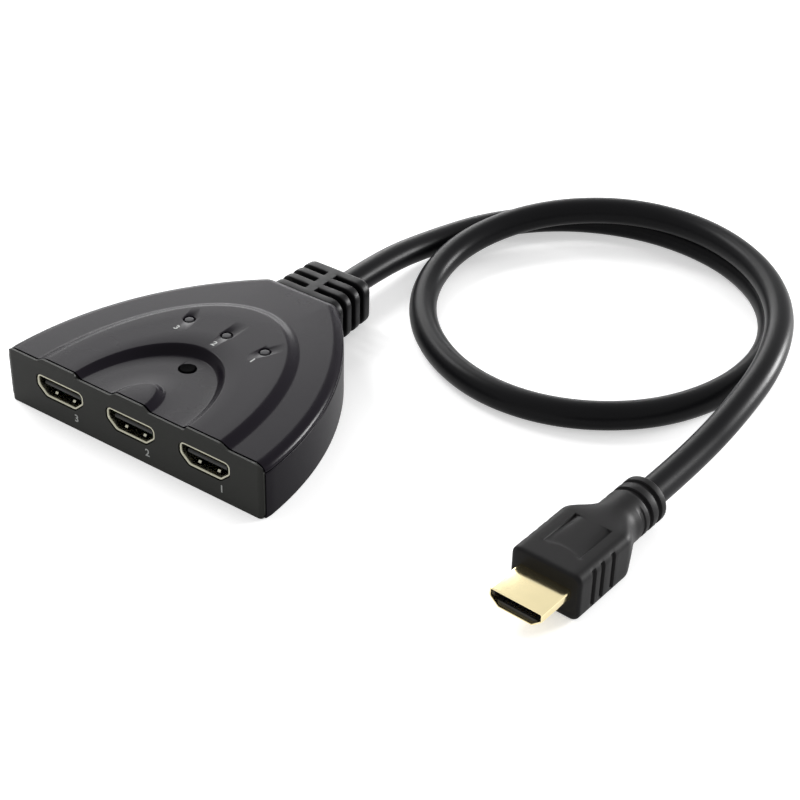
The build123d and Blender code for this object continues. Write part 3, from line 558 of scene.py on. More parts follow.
def addCord(shape):
    end = plugMouth + plugBack * plugPlace["end"]
    route = [Vector((x, bootEnd + y, z)) for x, y, z in shape["points"]]
    route += [end + plugBack * shape["lastRun"], end]
    curve = bpy.data.curves.new("cableCord", "CURVE")
    curve.dimensions = "3D"
    spline = curve.splines.new("NURBS")
    spline.points.add(len(route) - 1)
    for point, place in zip(spline.points, route):
        point.co = (*place, 1)
    spline.order_u = 3
    spline.use_endpoint_u = True
    spline.resolution_u = 14
    curve.bevel_depth = shape["diameter"] / 2
    curve.bevel_resolution = 10
    curve.use_fill_caps = True
    curve.materials.append(material["jacketBlack"])
    cord = bpy.data.objects.new("cableCord", curve)
    bpy.context.scene.collection.objects.link(cord)
    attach(cord, "base")
    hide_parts("cable")
    return cord


cableCord = addCord(cordShape)
print("cord laid")

# Case outline: one large arc per side, rounded rear corners
caseDepth = 66.5
caseHalf = 41.0
rearHalf = 11.0
sideTaper = caseHalf - rearHalf
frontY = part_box("front_panel")[0][1] / mm
caseShape = {
    "sideRadius": (sideTaper**2 + caseDepth**2) / (2 * sideTaper),
    "rearCorner": 4.0,
    "frontCorner": 2.0,
    "openY": 1.1,
    "sideColumns": 44,
    "cornerColumns": 10,
    "rearColumns": 12,
}


def caseRow(inset, shape=caseShape):
    first = Vector((caseHalf, 0))
    last = Vector((rearHalf, caseDepth))
    chord = last - first
    outward = Vector((chord.y, -chord.x)).normalized()
    drop = math.sqrt(shape["sideRadius"] ** 2 - (chord.length / 2) ** 2)
    centre = (first + last) / 2 - outward * drop
    cornerY = caseDepth - shape["rearCorner"]
    reach = shape["sideRadius"] - shape["rearCorner"]
    corner = Vector((centre.x + math.sqrt(reach**2 - (cornerY - centre.y) ** 2), cornerY))
    radius = shape["sideRadius"] - inset
    startAngle = math.asin((shape["openY"] - centre.y) / radius)
    endAngle = math.atan2(corner.y - centre.y, corner.x - centre.x)
    half = []
    for k in range(shape["sideColumns"] + 1):
        angle = startAngle + (endAngle - startAngle) * k / shape["sideColumns"]
        y = centre.y + radius * math.sin(angle)
        # the front corner is round in plan
        short = max(0.0, shape["frontCorner"] - y)
        turned = shape["frontCorner"] - math.sqrt(shape["frontCorner"] ** 2 - short**2)
        half.append((centre.x + radius * math.cos(angle) - turned, y))
    tight = max(0.05, shape["rearCorner"] - inset)
    for k in range(1, shape["cornerColumns"] + 1):
        angle = endAngle + (math.pi / 2 - endAngle) * k / shape["cornerColumns"]
        half.append((corner.x + tight * math.cos(angle), corner.y + tight * math.sin(angle)))
    for k in range(1, shape["rearColumns"] + 1):
        half.append((corner.x * (1 - k / shape["rearColumns"]), cornerY + tight))
    return half + [(-x, y) for x, y in reversed(half[:-1])]


rayAngles = [math.atan2(y - caseShape["openY"], x) for x, y in caseRow(2.6)]


def ovalRow(half, out=0.0):
    # half-oval centred on the front line, met by the same rays as the outline
    halfWidth, depth = half[0] + out, half[1] + out
    row = []
    openY = caseShape["openY"]
    for angle in rayAngles:
        c, s = math.cos(angle), math.sin(angle)
        a = (c / halfWidth) ** 2 + (s / depth) ** 2
        b = 2 * openY * s / depth**2
        k = (openY / depth) ** 2 - 1
        reach = (-b + math.sqrt(b * b - 4 * a * k)) / (2 * a)
        row.append((reach * c, openY + reach * s))
    return row


def lifted(row, height):
    # height is a number or a function of the distance from the front
    return [(x, y + frontY, height(y) if callable(height) else height) for x, y in row]


def shellPiece(name, rows, finish):
    # solid from half rows: closed below, above and along the front
    count = len(rows[0])
    points, faces = loft(rows, closed=False)
    front = [r * count for r in range(len(rows))]
    front += [r * count + count - 1 for r in reversed(range(len(rows)))]
    faces.append(tuple(front))
    return addPiece(name, (points, faces), finish)


# Upper shell with its terraces
coverShape = {
    "partLine": 13.3,
    "lipBottom": 11.4,
    "lipOuter": 1.15,
    "lipInner": 2.0,
    "bandTop": 15.3,
    # (inset, rise above the parting line) of the small rim under the shoulder and of its start
    "rim": [(0.22, 0), (0.09, 0.05)],
    "shoulderStart": (0.07, 0.12),
    "shoulder": 3.0,
    "shoulderTilt": (84, 4),
    "shoulderSteps": 14,
    "plateauTop": 16.47,
    "plateau": (0.685 * caseHalf, 0.744 * caseDepth),
    "field": (0.422 * caseHalf, 0.408 * caseDepth),
    "fieldFront": 15.3,
    "fieldRear": 14.0,
    "dome": (5.9, 10.3),
    # how far inside the field's wall and outside the dome the flat rows begin
    "fieldMargin": 1.4,
    "domeMargin": 1.2,
    "lampPlaces": [-0.298 * caseHalf, 0.0, 0.298 * caseHalf],
    "lampY": 0.537 * caseDepth,
    "lampHole": 1.6,
    "lampFlare": 0.16,
    "buttonY": 0.316 * caseDepth,
    "buttonHole": 2.3,
    "buttonFlare": 0.14,
    # (outer and inner distance from the edge, number of steps) of each smooth slope
    "slope": (2.9, -0.9, 12),
    "fieldWall": (1.1, -1.5, 12),
    "domeWall": (0.8, -1.9, 10),
}


def smoothSlope(span):
    # pairs of distance outside the edge and share of the rise, along an S
    outer, inner, steps = span
    return [(outer + (inner - outer) * k / steps, blend(0, steps, k)) for k in range(steps + 1)]


def shoulderLine(shape):
    # pairs of inset and height: a round edge that runs tangent into the band
    first, last = [math.radians(tilt) for tilt in shape["shoulderTilt"]]
    startInset, startRise = shape["shoulderStart"]
    rise = shape["bandTop"] - shape["partLine"] - startRise
    run = shape["shoulder"] - startInset
    steps = shape["shoulderSteps"]
    line = []
    for k in range(steps + 1):
        tilt = first + (last - first) * k / steps
        out = (math.sin(first) - math.sin(tilt)) / (math.sin(first) - math.sin(last))
        up = (math.cos(tilt) - math.cos(first)) / (math.cos(last) - math.cos(first))
        line.append((startInset + run * out, shape["partLine"] + startRise + rise * up))
    return line


def fieldHeight(y, shape=coverShape):
    drop = (shape["fieldFront"] - shape["fieldRear"]) / shape["field"][1]
    return shape["fieldFront"] - drop * y


def mixed(first, last, share):
    return [a * (1 - share) + b * share for a, b in zip(first, last)]


def coverRows(shape):
    part, top = shape["partLine"], shape["plateauTop"]
    edge = [
        (shape["lipInner"], part),
        (shape["lipInner"], shape["lipBottom"]),
        (shape["lipOuter"], shape["lipBottom"]),
        (shape["lipOuter"], part),
    ]
    edge += [(inset, part + rise) for inset, rise in shape["rim"]]
    rows = [lifted(caseRow(inset), height) for inset, height in edge + shoulderLine(shape)]
    for out, share in smoothSlope(shape["slope"]):
        height = shape["bandTop"] + (top - shape["bandTop"]) * share
        rows.append(lifted(ovalRow(shape["plateau"], out), height))
    for share in (0.3, 0.65):
        rows.append(lifted(ovalRow(mixed(shape["plateau"], shape["field"], share)), top))
    for out, share in smoothSlope(shape["fieldWall"]):
        row = ovalRow(shape["field"], out)
        rows.append(lifted(row, lambda y, s=share: top - s * (top - fieldHeight(y))))
    inner = [size - shape["fieldMargin"] for size in shape["field"]]
    outer = [size + shape["domeMargin"] for size in shape["dome"]]
    for share in (0.3, 0.6):
        rows.append(lifted(ovalRow(mixed(inner, outer, share)), fieldHeight))
    for out, share in smoothSlope(shape["domeWall"]):
        row = ovalRow(shape["dome"], out)
        rows.append(lifted(row, lambda y, s=share: fieldHeight(y) + s * (top - fieldHeight(y))))
    return rows


def holeCutter(name, x, y, radius, top, flare, depth=8.0):
    profile = [
        (radius, top - depth),
        (radius, top - flare),
        (radius + flare * 0.35, top - flare * 0.35),
        (radius + flare, top),
        (radius + flare, top + 2),
    ]
    return addCutter(name, lathe(profile, (x, y + frontY), 40))


# gap in both shells for the boot's neck
neckGap = {"halfWidth": 7.2, "low": 2.9, "high": 13.2, "ahead": 4, "behind": 1}
rearY = frontY + caseDepth


def neckCutter(low, high, gap=neckGap):
    near = (-gap["halfWidth"], rearY - gap["ahead"], low)
    far = (gap["halfWidth"], rearY + gap["behind"], high)
    return addCutter("neckCut", block(near, far))


def coverCutters(shape):
    cutters = []
    y, radius, flare = shape["lampY"], shape["lampHole"], shape["lampFlare"]
    for x in shape["lampPlaces"]:
        cutters.append(holeCutter("lampCut", x, y, radius, shape["plateauTop"], flare))
    y, radius, flare = shape["buttonY"], shape["buttonHole"], shape["buttonFlare"]
    cutters.append(holeCutter("buttonCut", 0, y, radius, fieldHeight(y), flare))
    cutters.append(neckCutter(5, neckGap["high"]))
    return cutters


topShell = shellPiece("topShell", coverRows(coverShape), "satinCoverPaintedSheenTint")
cut(topShell, coverCutters(coverShape))
topShell.modifiers.clear()
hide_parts("top_cover")
print("upper shell made")

# Lower shell
lowerShape = {
    "rim": 12.95,
    # (inset, drop below the rim) of its round outer edge
    "rimRound": [(0, 0.40), (0.06, 0.18), (0.18, 0.05), (0.36, 0)],
    "floor": 2.0,
    "step": 11.15,
    "stepInset": 1.0,
    "wall": 2.0,
    "edge": 0.5,
    # (distance behind the front, distance inside the side) of each pair of screws
    "screws": [(9.4, 5.9), (caseDepth - 15.0, 8.1)],
    "screwRadius": 2.8,
    "screwDepth": 1.85,
}


def lowerRows(shape):
    edge = shape["edge"]
    line = [(edge * (1 - sine), edge * (1 - cosine)) for cosine, sine in quarterTurn(4)]
    line += [(inset, shape["rim"] - drop) for inset, drop in shape["rimRound"]]
    line += [
        (shape["stepInset"], shape["rim"]),
        (shape["stepInset"], shape["step"]),
        (shape["wall"], shape["step"]),
        (shape["wall"], shape["floor"]),
    ]
    return [lifted(caseRow(inset), height) for inset, height in line]


def caseEdge(distance):
    # half width of the case at a distance behind its front
    radius = caseShape["sideRadius"]
    return caseHalf - radius + math.sqrt(radius**2 - distance**2)


def screwCutters(shape):
    cutters = []
    profile = [(shape["screwRadius"], -1), (shape["screwRadius"], shape["screwDepth"])]
    for y, margin in shape["screws"]:
        for side in (1, -1):
            place = (side * (caseEdge(y) - margin), y + frontY)
            cutters.append(addCutter("screwCut", lathe(profile, place, 40)))
    return cutters


lowerShell = shellPiece("lowerShell", lowerRows(lowerShape), "satinCasePaintedShade")
cut(lowerShell, [neckCutter(neckGap["low"], 16)] + screwCutters(lowerShape))
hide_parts("bottom_case")
print("lower shell made")

# Front panel: a thin plate, a smaller step and a block behind it, with three windows
portEndDistance = 17.9
portPitch = caseHalf - portEndDistance


def portCorners(foot, half, bend, top):
    # flat foot, slanting sides, short upright ends and a flat top
    return [(-foot, -top), (foot, -top), (half, bend), (half, top), (-half, top), (-half, bend)]


portShape = {
    "places": [-portPitch, 0.0, portPitch],
    "height": 8.65,
    "corners": portCorners(4.6, 7.0, -0.1, 2.275),
    "corner": 0.85,
    "wall": 0.35,
    "flare": 0.3,
    "window": 0.2,
}
panelShape = {
    "thickness": 1.8,
    "plate": 0.58,
    # smaller outline behind the plate, the floor of the groove round it
    "step": {"width": 0.9885, "foot": 0.12, "height": 0.955, "depth": 1.06},
    "backHalf": 38.8,
    "backLow": 2.15,
    "backHigh": 13.2,
    "face": 0.03,
    "lip": 0.22,
    "foot": 1.7,
    "cornerRound": 2.0,
    "half": [
        (4.2, 16.5),
        (5.9, 15.3),
        (coverShape["field"][0], 15.3),
        (coverShape["field"][0] + 0.55, 16.5),
        (coverShape["plateau"][0], 16.5),
        (coverShape["plateau"][0] + 2.2, 15.3),
    ],
    "round": 0.55,
}


def portLoop(margin):
    return roundedLoop(portShape["corners"], portShape["corner"], margin)


def softened(points, radius, steps=4):
    # replaces each inner corner of an open line by a small arc
    line = [points[0]]
    for before, here, after in zip(points, points[1:], points[2:]):
        here = Vector(here)
        back = Vector(before) - here
        on = Vector(after) - here
        reach = min(radius, back.length * 0.45, on.length * 0.45)
        back.normalize()
        on.normalize()
        for k in range(steps + 1):
            t = k / steps
            line.append(tuple(here + back * reach * (1 - t) ** 2 + on * reach * t**2))
    line.append(points[-1])
    return line


def panelOutline(shape):
    line = [(0, shape["half"][0][1])] + shape["half"]
    line.append((caseHalf - coverShape["shoulder"] - 0.5, coverShape["bandTop"]))
    half = softened(line, shape["round"])
    half += [(caseHalf - inset, height) for inset, height in reversed(shoulderLine(coverShape))]
    half.append((caseHalf, coverShape["partLine"] - 0.2))
    foot = shape["foot"]
    half += [(caseHalf - foot * (1 - cosine), foot * (1 - sine)) for cosine, sine in quarterTurn(6)]
    return half + [(-x, z) for x, z in reversed(half[1:])]


def flatCurve(name, outline, depth):
    curve = bpy.data.curves.new(name, "CURVE")
    curve.dimensions = "2D"
    curve.fill_mode = "BOTH"
    curve.extrude = depth / 2 * mm
    spline = curve.splines.new("POLY")
    spline.points.add(len(outline) - 1)
    for point, (x, z) in zip(spline.points, outline):
        point.co = (x * mm, z * mm, 0, 1)
    spline.use_cyclic_u = True
    return curve


def cornerCutter(side, shape):
    # prism that leaves the plate's upright end edge round
    radius = shape["cornerRound"]
    middle = (caseHalf - radius, frontY + shape["face"] + radius)
    outline = [(middle[0], frontY - 1), (caseHalf + 1, frontY - 1), (caseHalf + 1, middle[1])]
    for cosine, sine in quarterTurn(10):
        outline.append((middle[0] + radius * cosine, middle[1] - radius * sine))
    return addCutter("cornerCut", loft([[(side * x, y, z) for x, y in outline] for z in (-1, 20)]))


def sweptBack(outline, near, far):
    # outline of (x, z) between two distances behind the front
    return loft([[(x, frontY + y, z) for x, z in outline] for y in (near, far)])


def cutWindows(piece):
    reach = portShape["wall"] + portShape["flare"] + portShape["window"]
    cutters = []
    for portX in portShape["places"]:
        outline = [(x + portX, z + portShape["height"]) for x, z in portLoop(reach)]
        cutters.append(addCutter("windowCut", sweptBack(outline, -1, 3)))
    cut(piece, cutters)


def meshFromCurve(name, curve, place, finish):
    holder = bpy.data.objects.new(name + "Line", curve)
    bpy.context.scene.collection.objects.link(holder)
    holder.matrix_world = place
    graph = bpy.context.evaluated_depsgraph_get()
    graph.update()
    mesh = bpy.data.meshes.new_from_object(holder.evaluated_get(graph))
    mesh.transform(place)
    bpy.data.objects.remove(holder)
    piece = bpy.data.objects.new(name, mesh)
    bpy.context.scene.collection.objects.link(piece)
    mesh.materials.clear()
    mesh.materials.append(material[finish])
    work = bmesh.new()
    work.from_mesh(mesh)
    bmesh.ops.remove_doubles(work, verts=work.verts, dist=1e-7)
    work.to_mesh(mesh)
    work.free()
    smooth(piece)
    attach(piece, "base")
    return piece


def upright(y):
    # a plane with X to the right and Z up, at a distance from the front
    return Matrix.Translation((0, y * mm, 0)) @ Matrix.Rotation(math.pi / 2, 4, "X")


def addPanel(shape):
    outline = panelOutline(shape)
    facePlate = meshFromCurve(
        "facePlate",
        flatCurve("facePlate", outline, shape["plate"] - shape["face"]),
        upright(frontY + (shape["face"] + shape["plate"]) / 2),
        "satinPanel",
    )
    cut(facePlate, [cornerCutter(side, shape) for side in (-1, 1)])
    facePlate.modifiers.clear()
    soften(facePlate, shape["lip"], 3, 30)
    settle(facePlate)
    cutWindows(facePlate)
    near = (-shape["backHalf"], frontY + shape["plate"], shape["backLow"])
    far = (shape["backHalf"], frontY + shape["thickness"], shape["backHigh"])
    plateBack = addPiece("plateBack", block(near, far), "satinPanel", body=None)
    cutWindows(plateBack)
    step = shape["step"]
    smaller = [(x * step["width"], step["foot"] + z * step["height"]) for x, z in outline]
    behind = sweptBack(smaller, shape["plate"], step["depth"])
    plateStep = addPiece("plateStep", behind, "satinPanel", body=None)
    cutWindows(plateStep)
    absorb(facePlate, [plateBack, plateStep])
    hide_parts("front_panel")


addPanel(panelShape)
print("front panel made")

# Ports: plated shell with a rolled rim, four spring fingers and four solder legs
shellShape = {
    "start": frontY + 0.15,
    # (depth, distance outside the opening), from inside round the rim to the outside
    "profile": [
        (11.4, 0),
        (4.0, 0),
        (1.1, 0),
        (0.5, 0.03),
        (0.22, 0.10),
        (0.06, 0.22),
        (0.0, 0.36),
        (0.02, 0.50),
        (0.09, 0.60),
        (0.22, 0.65),
        (0.8, 0.65),
        (0.86, 0.40),
        (1.0, 0.35),
        (11.4, 0.35),
    ],
    "halfWidth": 7.0,
    "halfHeight": 2.275,
    "fingerX": 2.95,
    "fingerHalf": 0.45,
    "windowHalf": 1.2,
    "windowReach": 0.5,
    "windowFrom": 1.2,
    "windowTo": 8.6,
    # (depth, height of the middle of the leaf above the wall's inner face)
    "finger": [
        (8.8, 0.225),
        (6.5, 0.0),
        (4.2, -0.22),
        (2.9, -0.34),
        (2.2, -0.40),
        (1.9, -0.36),
        (1.65, -0.12),
        (1.5, 0.10),
    ],
    "fingerThick": 0.25,
    "legPlaces": [6.6, 10.4],
    "legThin": 0.17,
    "legHalf": 0.8,
    "legLow": 3.65,
    "legHigh": 9.25,
}


def fingerStrip(x, sign, shape):
    # one leaf, as a strip with a thin side row on each edge
    half = shape["fingerThick"] / 2
    edge = shape["halfHeight"]
    line = [(shape["start"] + depth, edge + rise) for depth, rise in shape["finger"]]
    loop = [(y, z + half) for y, z in line] + [(y, z - half) for y, z in reversed(line)]
    rows = [
        [(x + side * shape["fingerHalf"], y, portShape["height"] + sign * z) for y, z in loop]
        for side in (-1, 1)
    ]
    return loft(rows)


def addPort(number, portX, shape=shellShape):
    start = shape["start"]
    height = portShape["height"]
    rows = [
        [(x + portX, start + depth, z + height) for x, z in portLoop(margin)]
        for depth, margin in shape["profile"]
    ]
    shell = addPiece(f"portShell{number}", loft(rows, ring=True), "nickelPlate")
    windows, leaves = [], []
    for sign in (-1, 1):
        for side in (-1, 1):
            x = portX + side * shape["fingerX"]
            wallZ = height + sign * (shape["halfHeight"] + portShape["wall"] / 2)
            near = (x - shape["windowHalf"], start + shape["windowFrom"], wallZ - shape["windowReach"])
            far = (x + shape["windowHalf"], start + shape["windowTo"], wallZ + shape["windowReach"])
            windows.append(addCutter("fingerWindow", block(near, far)))
            leaves.append(fingerStrip(x, sign, shape))
    for place in shape["legPlaces"]:
        for side in (-1, 1):
            legX = portX + side * (shape["halfWidth"] + portShape["wall"] / 2)
            near = (legX - shape["legThin"], start + place - shape["legHalf"], shape["legLow"])
            far = (legX + shape["legThin"], start + place + shape["legHalf"], shape["legHigh"])
            leaves.append(block(near, far))
    cut(shell, windows)
    absorb(shell, [addPiece("portLeaves", gather(leaves), "nickelPlate", body=None)])
    soften(shell, 0.05, 1)
    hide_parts(f"hdmi_shell_{number}")


for number, portX in enumerate(portShape["places"], start=1):
    addPort(number, portX)
    soften(nodes[f"hdmi_insulator_{number}"], 0.12)
print("ports made")

# Lamps: smoked lenses with a flange, in the holes of the cover, as (radius, height)
lampShape = [
    (1.8, 11.0),
    (1.9, 11.1),
    (1.9, 11.9),
    (1.8, 12.0),
    (1.5, 12.0),
    (1.5, 15.7),
    (1.42, 15.8),
    (1.22, 15.85),
    (1.20, 16.25),
    (1.14, 16.36),
    (1.02, 16.42),
    (0.8, 16.45),
    (0.4, 16.46),
    (0.04, 16.46),
]


def addLens(number, lampX, profile=lampShape):
    form = lathe(profile, (lampX, coverShape["lampY"] + frontY), 36)
    lens = addPiece(f"lampLens{number}", form, "smokedLens")
    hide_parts(f"led_{number}")


for number, lampX in enumerate(coverShape["lampPlaces"], start=1):
    addLens(number, lampX)

# Select button: stem, flange under the cover and dished cap, as (radius, height)
buttonShape = [
    (1.5, 10.9),
    (1.6, 11.0),
    (1.6, 11.8),
    (3.1, 11.8),
    (3.2, 11.9),
    (3.2, 12.5),
    (3.1, 12.6),
    (2.0, 12.6),
    (2.0, 14.20),
    (1.97, 14.36),
    (1.88, 14.48),
    (1.74, 14.54),
    (1.60, 14.55),
    (1.35, 14.50),
    (0.9, 14.43),
    (0.4, 14.40),
    (0.04, 14.39),
]
buttonForm = lathe(buttonShape, (0, coverShape["buttonY"] + frontY))
pushButton = addPiece("pushButton", buttonForm, "buttonBlack", body="button")
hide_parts("select_button")
print("lamps and button made")

# Rear boot: tapered bar with slots beside a spine, a neck through the wall and a flange
bootShape = {
    "start": rearY + 0.05,
    "end": bootEnd / mm,
    "height": 7.45,
    "front": (11.2, 6.55),
    "rear": (10.3, 6.45),
    "corner": 3.2,
    "slots": [3.3, 7.3, 11.3],
    "slotHalf": 0.85,
    "edge": 0.45,
    "spine": 1.4,
    "spineEdge": 0.05,
    "core": 4.8,
    "coreHeight": 7.0,
    "endRound": 1.5,
    # (distance behind the wall, inset) where the bar begins
    "startRound": [(0, 0.3), (0.1, 0.09), (0.3, 0)],
    "bore": 3.78,
    # (distance inside the end, distance outside the bore) of the bore's flared mouth
    "boreMouth": [(0, 0.45), (0.12, 0.15), (0.45, 0)],
    "wall": 2.1,
    "neck": (7.0, 5.075, 8.075),
    "flange": (8.6, 5.275, 7.325),
    "flangeThick": 1.5,
    "cornerSteps": 6,
}


def fullLoop(quarter, height):
    # mirrors a quarter, given from the right to the top, into a whole outline
    loop = quarter + [(-x, z) for x, z in reversed(quarter[:-1])]
    loop += [(-x, -z) for x, z in quarter[1:]] + [(x, -z) for x, z in reversed(quarter[1:-1])]
    return [(x, z + height) for x, z in loop]


def bootLoop(halfWidth, halfHeight, corner, height, shape=bootShape):
    side, flat = halfHeight - corner, halfWidth - corner
    quarter = [(halfWidth, side * k / 3) for k in range(3)]
    for cosine, sine in quarterTurn(shape["cornerSteps"]):
        quarter.append((flat + corner * cosine, side + corner * sine))
    outside = shape["spine"] + shape["spineEdge"]
    quarter += [(flat + (outside - flat) * k / 3, halfHeight) for k in (1, 2, 3)]
    quarter += [(shape["spine"] - shape["spineEdge"], halfHeight), (0, halfHeight)]
    return fullLoop(quarter, height)


def bootRound(radius, shape=bootShape):
    # round outline with as many columns, the last two of each quarter beside the spine
    last = shape["cornerSteps"] + 6
    reach = math.acos((shape["spine"] + shape["spineEdge"]) / radius)
    angles = [reach * k / last for k in range(last + 1)]
    quarter = [(radius * math.cos(angle), radius * math.sin(angle)) for angle in angles]
    inside = shape["spine"] - shape["spineEdge"]
    quarter += [(inside, math.sqrt(radius**2 - inside**2)), (0, radius)]
    return fullLoop(quarter, shape["coreHeight"])


def bootRow(y, inset=0.0, depth=0.0, shape=bootShape):
    # depth takes the columns outside the spine towards the core, all the way when it is None
    share = (y - shape["start"]) / (shape["end"] - shape["start"])
    halfWidth = shape["front"][0] + (shape["rear"][0] - shape["front"][0]) * share - inset
    halfHeight = shape["front"][1] + (shape["rear"][1] - shape["front"][1]) * share - inset
    outer = bootLoop(halfWidth, halfHeight, max(0.6, shape["corner"] - inset), shape["height"])
    row = []
    for (x, z), (coreX, coreZ) in zip(outer, bootRound(shape["core"])):
        if abs(x) > shape["spine"]:
            inward = Vector((coreX - x, coreZ - z))
            move = inward if depth is None else inward.normalized() * depth
            x, z = x + move.x, z + move.y
        row.append((x, y, z))
    return row


def bootRows(shape):
    inner = shape["start"] - shape["wall"]
    front = inner - shape["flangeThick"]
    flange = bootLoop(shape["flange"][0], shape["flange"][1], 0.3, shape["flange"][2])
    neck = bootLoop(shape["neck"][0], shape["neck"][1], 0.3, shape["neck"][2])
    stands = [
        (front, bootRound(shape["bore"])),
        (front, flange),
        (inner, flange),
        (inner, neck),
        (shape["start"], neck),
    ]
    rows = [[(x, y, z) for x, z in loop] for y, loop in stands]
    rows += [bootRow(shape["start"] + behind, inset) for behind, inset in shape["startRound"]]
    edges = [
        (shape["slotHalf"] + shape["edge"] * (1 - sine), shape["edge"] * (1 - cosine))
        for cosine, sine in quarterTurn(4)
    ]
    for place in shape["slots"]:
        middle = shape["start"] + place
        rows += [bootRow(middle - out, depth=depth) for out, depth in edges]
        rows.append(bootRow(middle - shape["slotHalf"], depth=None))
        rows.append(bootRow(middle + shape["slotHalf"], depth=None))
        rows += [bootRow(middle + out, depth=depth) for out, depth in reversed(edges)]
    for cosine, sine in quarterTurn(6):
        inset = shape["endRound"] * (1 - cosine)
        rows.append(bootRow(shape["end"] - shape["endRound"] * (1 - sine), inset))
    for deep, wide in shape["boreMouth"]:
        rows.append([(x, shape["end"] - deep, z) for x, z in bootRound(shape["bore"] + wide)])
    return rows


rearBoot = addPiece("rearBoot", loft(bootRows(bootShape), ring=True), "bootRubber")
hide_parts("strain_relief")
print("boot made")

# Plug: all its shapes are (distance from the mouth, to the right, above the middle)
plugShape = {
    "start": 10.6,
    "frontRound": 0.9,
    "shoulder": (29.0, 38.4),
    "end": plugPlace["end"] / mm,
    "half": (9.2, 6.2),
    "corner": 2.2,
    "neck": 6.0,
    "grips": [15.9, 19.2, 23.3],
    "gripDepth": 0.6,
    "gripLow": -4.4,
    "gripHigh": 5.2,
    "gripFade": 0.3,
    "rings": [(44.0, 0.65), (47.6, 0.65)],
    "sideRing": (41.0, 0.3),
    # (distance from a groove's middle, share of its depth)
    "groove": [
        (-1.02, 0),
        (-0.80, 0.06),
        (-0.66, 0.5),
        (-0.52, 1),
        (0.52, 1),
        (0.66, 0.5),
        (0.80, 0.06),
        (1.02, 0),
    ],
    "recessHalf": 4.8,
    "recess": (16.2, 28.5),
    "recessFront": 0.18,
    "recessSide": 0.75,
    "recessBow": 1.4,
    "recessFade": 0.5,
    "recessEnd": (0.15, 0.2),
    # columns across the flat top, as distances from the middle
    "topColumns": [5.9, 4.92, 4.72, 3.6, 2.4, 1.2, 0],
    # rows besides those of the grooves: single ones, and (first, step, how many) of even ones
    "stations": [12, 13, 14.2, 21.2, 25.2, 26.4, 27.4, 42.5, 45.8],
    "recessStations": [28.1, 28.4, 28.5, 28.57, 28.65, 28.8],
    "evenStations": [(16.0, 0.2, 9), (29.0, 0.6, 17)],
    "endRound": 0.5,
    # (distance inside the end, share of the outline) round the cord
    "collar": [(0, 0.72), (0.3, 0.64)],
}


def onPlug(s, a, b):
    place = (plugMouth + plugBack * s * mm + plugSide * a * mm) / mm
    return (place.x, place.y, place.z + b)


def plugLoop(s, inset, shape=plugShape):
    # rounded rectangle that turns into a circle along the shoulder
    turn = blend(shape["shoulder"][0], shape["shoulder"][1], s)
    halfWidth = shape["half"][0] + (shape["neck"] - shape["half"][0]) * turn - inset
    halfHeight = shape["half"][1] + (shape["neck"] - shape["half"][1]) * turn - inset
    corner = max(0.5, shape["corner"] - inset)
    side, flat = halfHeight - corner, halfWidth - corner
    quarter = [(halfWidth, side * k / 4) for k in range(4)]
    for cosine, sine in quarterTurn(7):
        quarter.append((flat + corner * cosine, side + corner * sine))
    for a in shape["topColumns"]:
        quarter.append((flat * a / (shape["half"][0] - shape["corner"]), halfHeight))
    loop = []
    for a, b in fullLoop(quarter, 0):
        angle = math.atan2(b / halfHeight, a / halfWidth)
        roundA, roundB = halfWidth * math.cos(angle), halfHeight * math.sin(angle)
        loop.append((a + (roundA - a) * turn, b + (roundB - b) * turn))
    return loop


def grooveShare(s, middle, shape=plugShape):
    away = s - middle
    for (fromOut, fromShare), (toOut, toShare) in zip(shape["groove"], shape["groove"][1:]):
        if fromOut <= away <= toOut:
            return fromShare + (toShare - fromShare) * (away - fromOut) / (toOut - fromOut)
    return 0.0


def recessDepth(s, a, shape=plugShape):
    # the floor is crowned: it runs out in the middle and gets deeper along the sides
    if abs(a) >= shape["recessHalf"]:
        return 0.0
    across = (a / shape["recessHalf"]) ** 6
    first, last = shape["recess"]
    along = max(0.0, (s - first) / (last - first))
    middle = shape["recessFront"] * (1 - along)
    side = shape["recessFront"] + (shape["recessSide"] - shape["recessFront"]) * along**1.5
    front = first + shape["recessBow"] * (1 - (a / shape["recessHalf"]) ** 2)
    fade = shape["recessFade"]
    before, behind = shape["recessEnd"]
    depth = middle + (side - middle) * across
    return depth * blend(front - fade, front + fade, s) * (1 - blend(last - before, last + behind, s))


def plugRow(s, inset=0.0, shape=plugShape):
    row = []
    for a, b in plugLoop(s, inset):
        fade = shape["gripFade"]
        grip = blend(shape["gripLow"] - fade, shape["gripLow"] + fade, b)
        grip *= 1 - blend(shape["gripHigh"] - fade, shape["gripHigh"] + fade, b)
        grip *= blend(0.6, 0.9, abs(a) / shape["half"][0])
        for middle in shape["grips"]:
            a -= math.copysign(grooveShare(s, middle) * shape["gripDepth"] * grip, a)
        if b > 0 and s < shape["shoulder"][0] + 1:
            b -= recessDepth(s, a)
        for middle, depth in shape["rings"]:
            share = 1 - grooveShare(s, middle) * depth / shape["neck"]
            a, b = a * share, b * share
        middle, depth = shape["sideRing"]
        beside = blend(0.5, 0.85, abs(a) / shape["neck"])
        share = 1 - grooveShare(s, middle) * depth / shape["neck"] * beside
        row.append(onPlug(s, a * share, b))
    return row


def plugStations(shape):
    stations = set(shape["stations"] + shape["recessStations"])
    for first, step, count in shape["evenStations"]:
        stations |= {first + step * k for k in range(count)}
    for middle in shape["grips"] + [ring[0] for ring in shape["rings"] + [shape["sideRing"]]]:
        stations |= {middle + out for out, _ in shape["groove"]}
    spread = []
    for s in sorted(stations):
        if not spread or s - spread[-1] > 0.05:
            spread.append(s)
    return spread


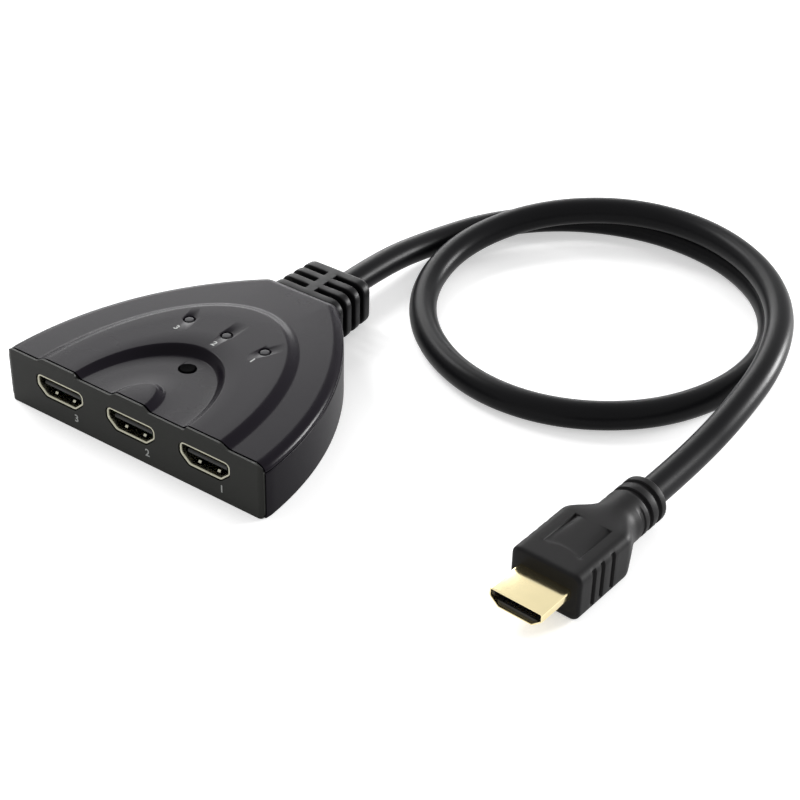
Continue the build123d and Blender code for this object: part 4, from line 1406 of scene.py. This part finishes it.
def plugRows(shape):
    first, last = shape["frontRound"], shape["endRound"]
    end = shape["end"]
    rows = []
    for cosine, sine in quarterTurn(5):
        rows.append(plugRow(shape["start"] + first * (1 - cosine), first * (1 - sine)))
    rows += [plugRow(s) for s in plugStations(shape)]
    rows += [plugRow(end - last * (1 - sine), last * (1 - cosine)) for cosine, sine in quarterTurn(4)]
    for deep, share in shape["collar"]:
        rows.append([onPlug(end - deep, a * share, b * share) for a, b in plugLoop(end, 0)])
    return rows


plugBody = addPiece("plugBody", loft(plugRows(plugShape)), "plugBlack")
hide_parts("plug_housing")

# Gold plug shell: folded sheet with rounded mouth edges
mouthShape = {
    "corners": portCorners(4.5, 6.95, -0.1, 2.225),
    "corner": 0.7,
    # (distance from the mouth, distance outside the outline), from inside to outside
    "profile": [
        (18.6, -0.4),
        (0.25, -0.4),
        (0.08, -0.36),
        (0.0, -0.27),
        (0.0, -0.14),
        (0.08, -0.05),
        (0.25, 0),
        (10.4, 0),
        (18.6, 0),
    ],
}


def mouthRow(s, margin, shape=mouthShape):
    return [onPlug(s, a, b) for a, b in roundedLoop(shape["corners"], shape["corner"], margin)]


mouthForm = loft([mouthRow(s, margin) for s, margin in mouthShape["profile"]], ring=True)
plugShell = addPiece("plugShell", mouthForm, "goldPlate")
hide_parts("plug_shell")
soften(nodes["plug_insulator"], 0.1)
print("plug made")

# Plain numbers beside the ports and the lamps
numberShape = {
    "size": 2.9,
    "lampSize": 2.5,
    "thick": 0.012,
    "bold": 0.05,
    "portX": 5.1,
    "portZ": 3.35,
    "lampY": 30.9,
}


def addNumber(name, text, size, place):
    line = bpy.data.curves.new(name, "FONT")
    line.body = text
    line.size = size * mm
    line.align_x = "CENTER"
    line.align_y = "CENTER"
    line.extrude = numberShape["thick"] * mm
    line.offset = numberShape["bold"] * mm
    return meshFromCurve(name, line, place, "greyPrint")


for count in range(3):
    digit = str(3 - count)
    portX, lampX = portShape["places"][count], coverShape["lampPlaces"][count]
    face = upright(frontY + panelShape["face"])
    aside = Matrix.Translation(((portX + numberShape["portX"]) * mm, 0, numberShape["portZ"] * mm))
    addNumber("portNumber" + digit, digit, numberShape["size"], aside @ face)
    onTop = Vector((lampX, frontY + numberShape["lampY"], coverShape["plateauTop"])) * mm
    addNumber("lampNumber" + digit, digit, numberShape["lampSize"], Matrix.Translation(onTop))
print("numbers made")
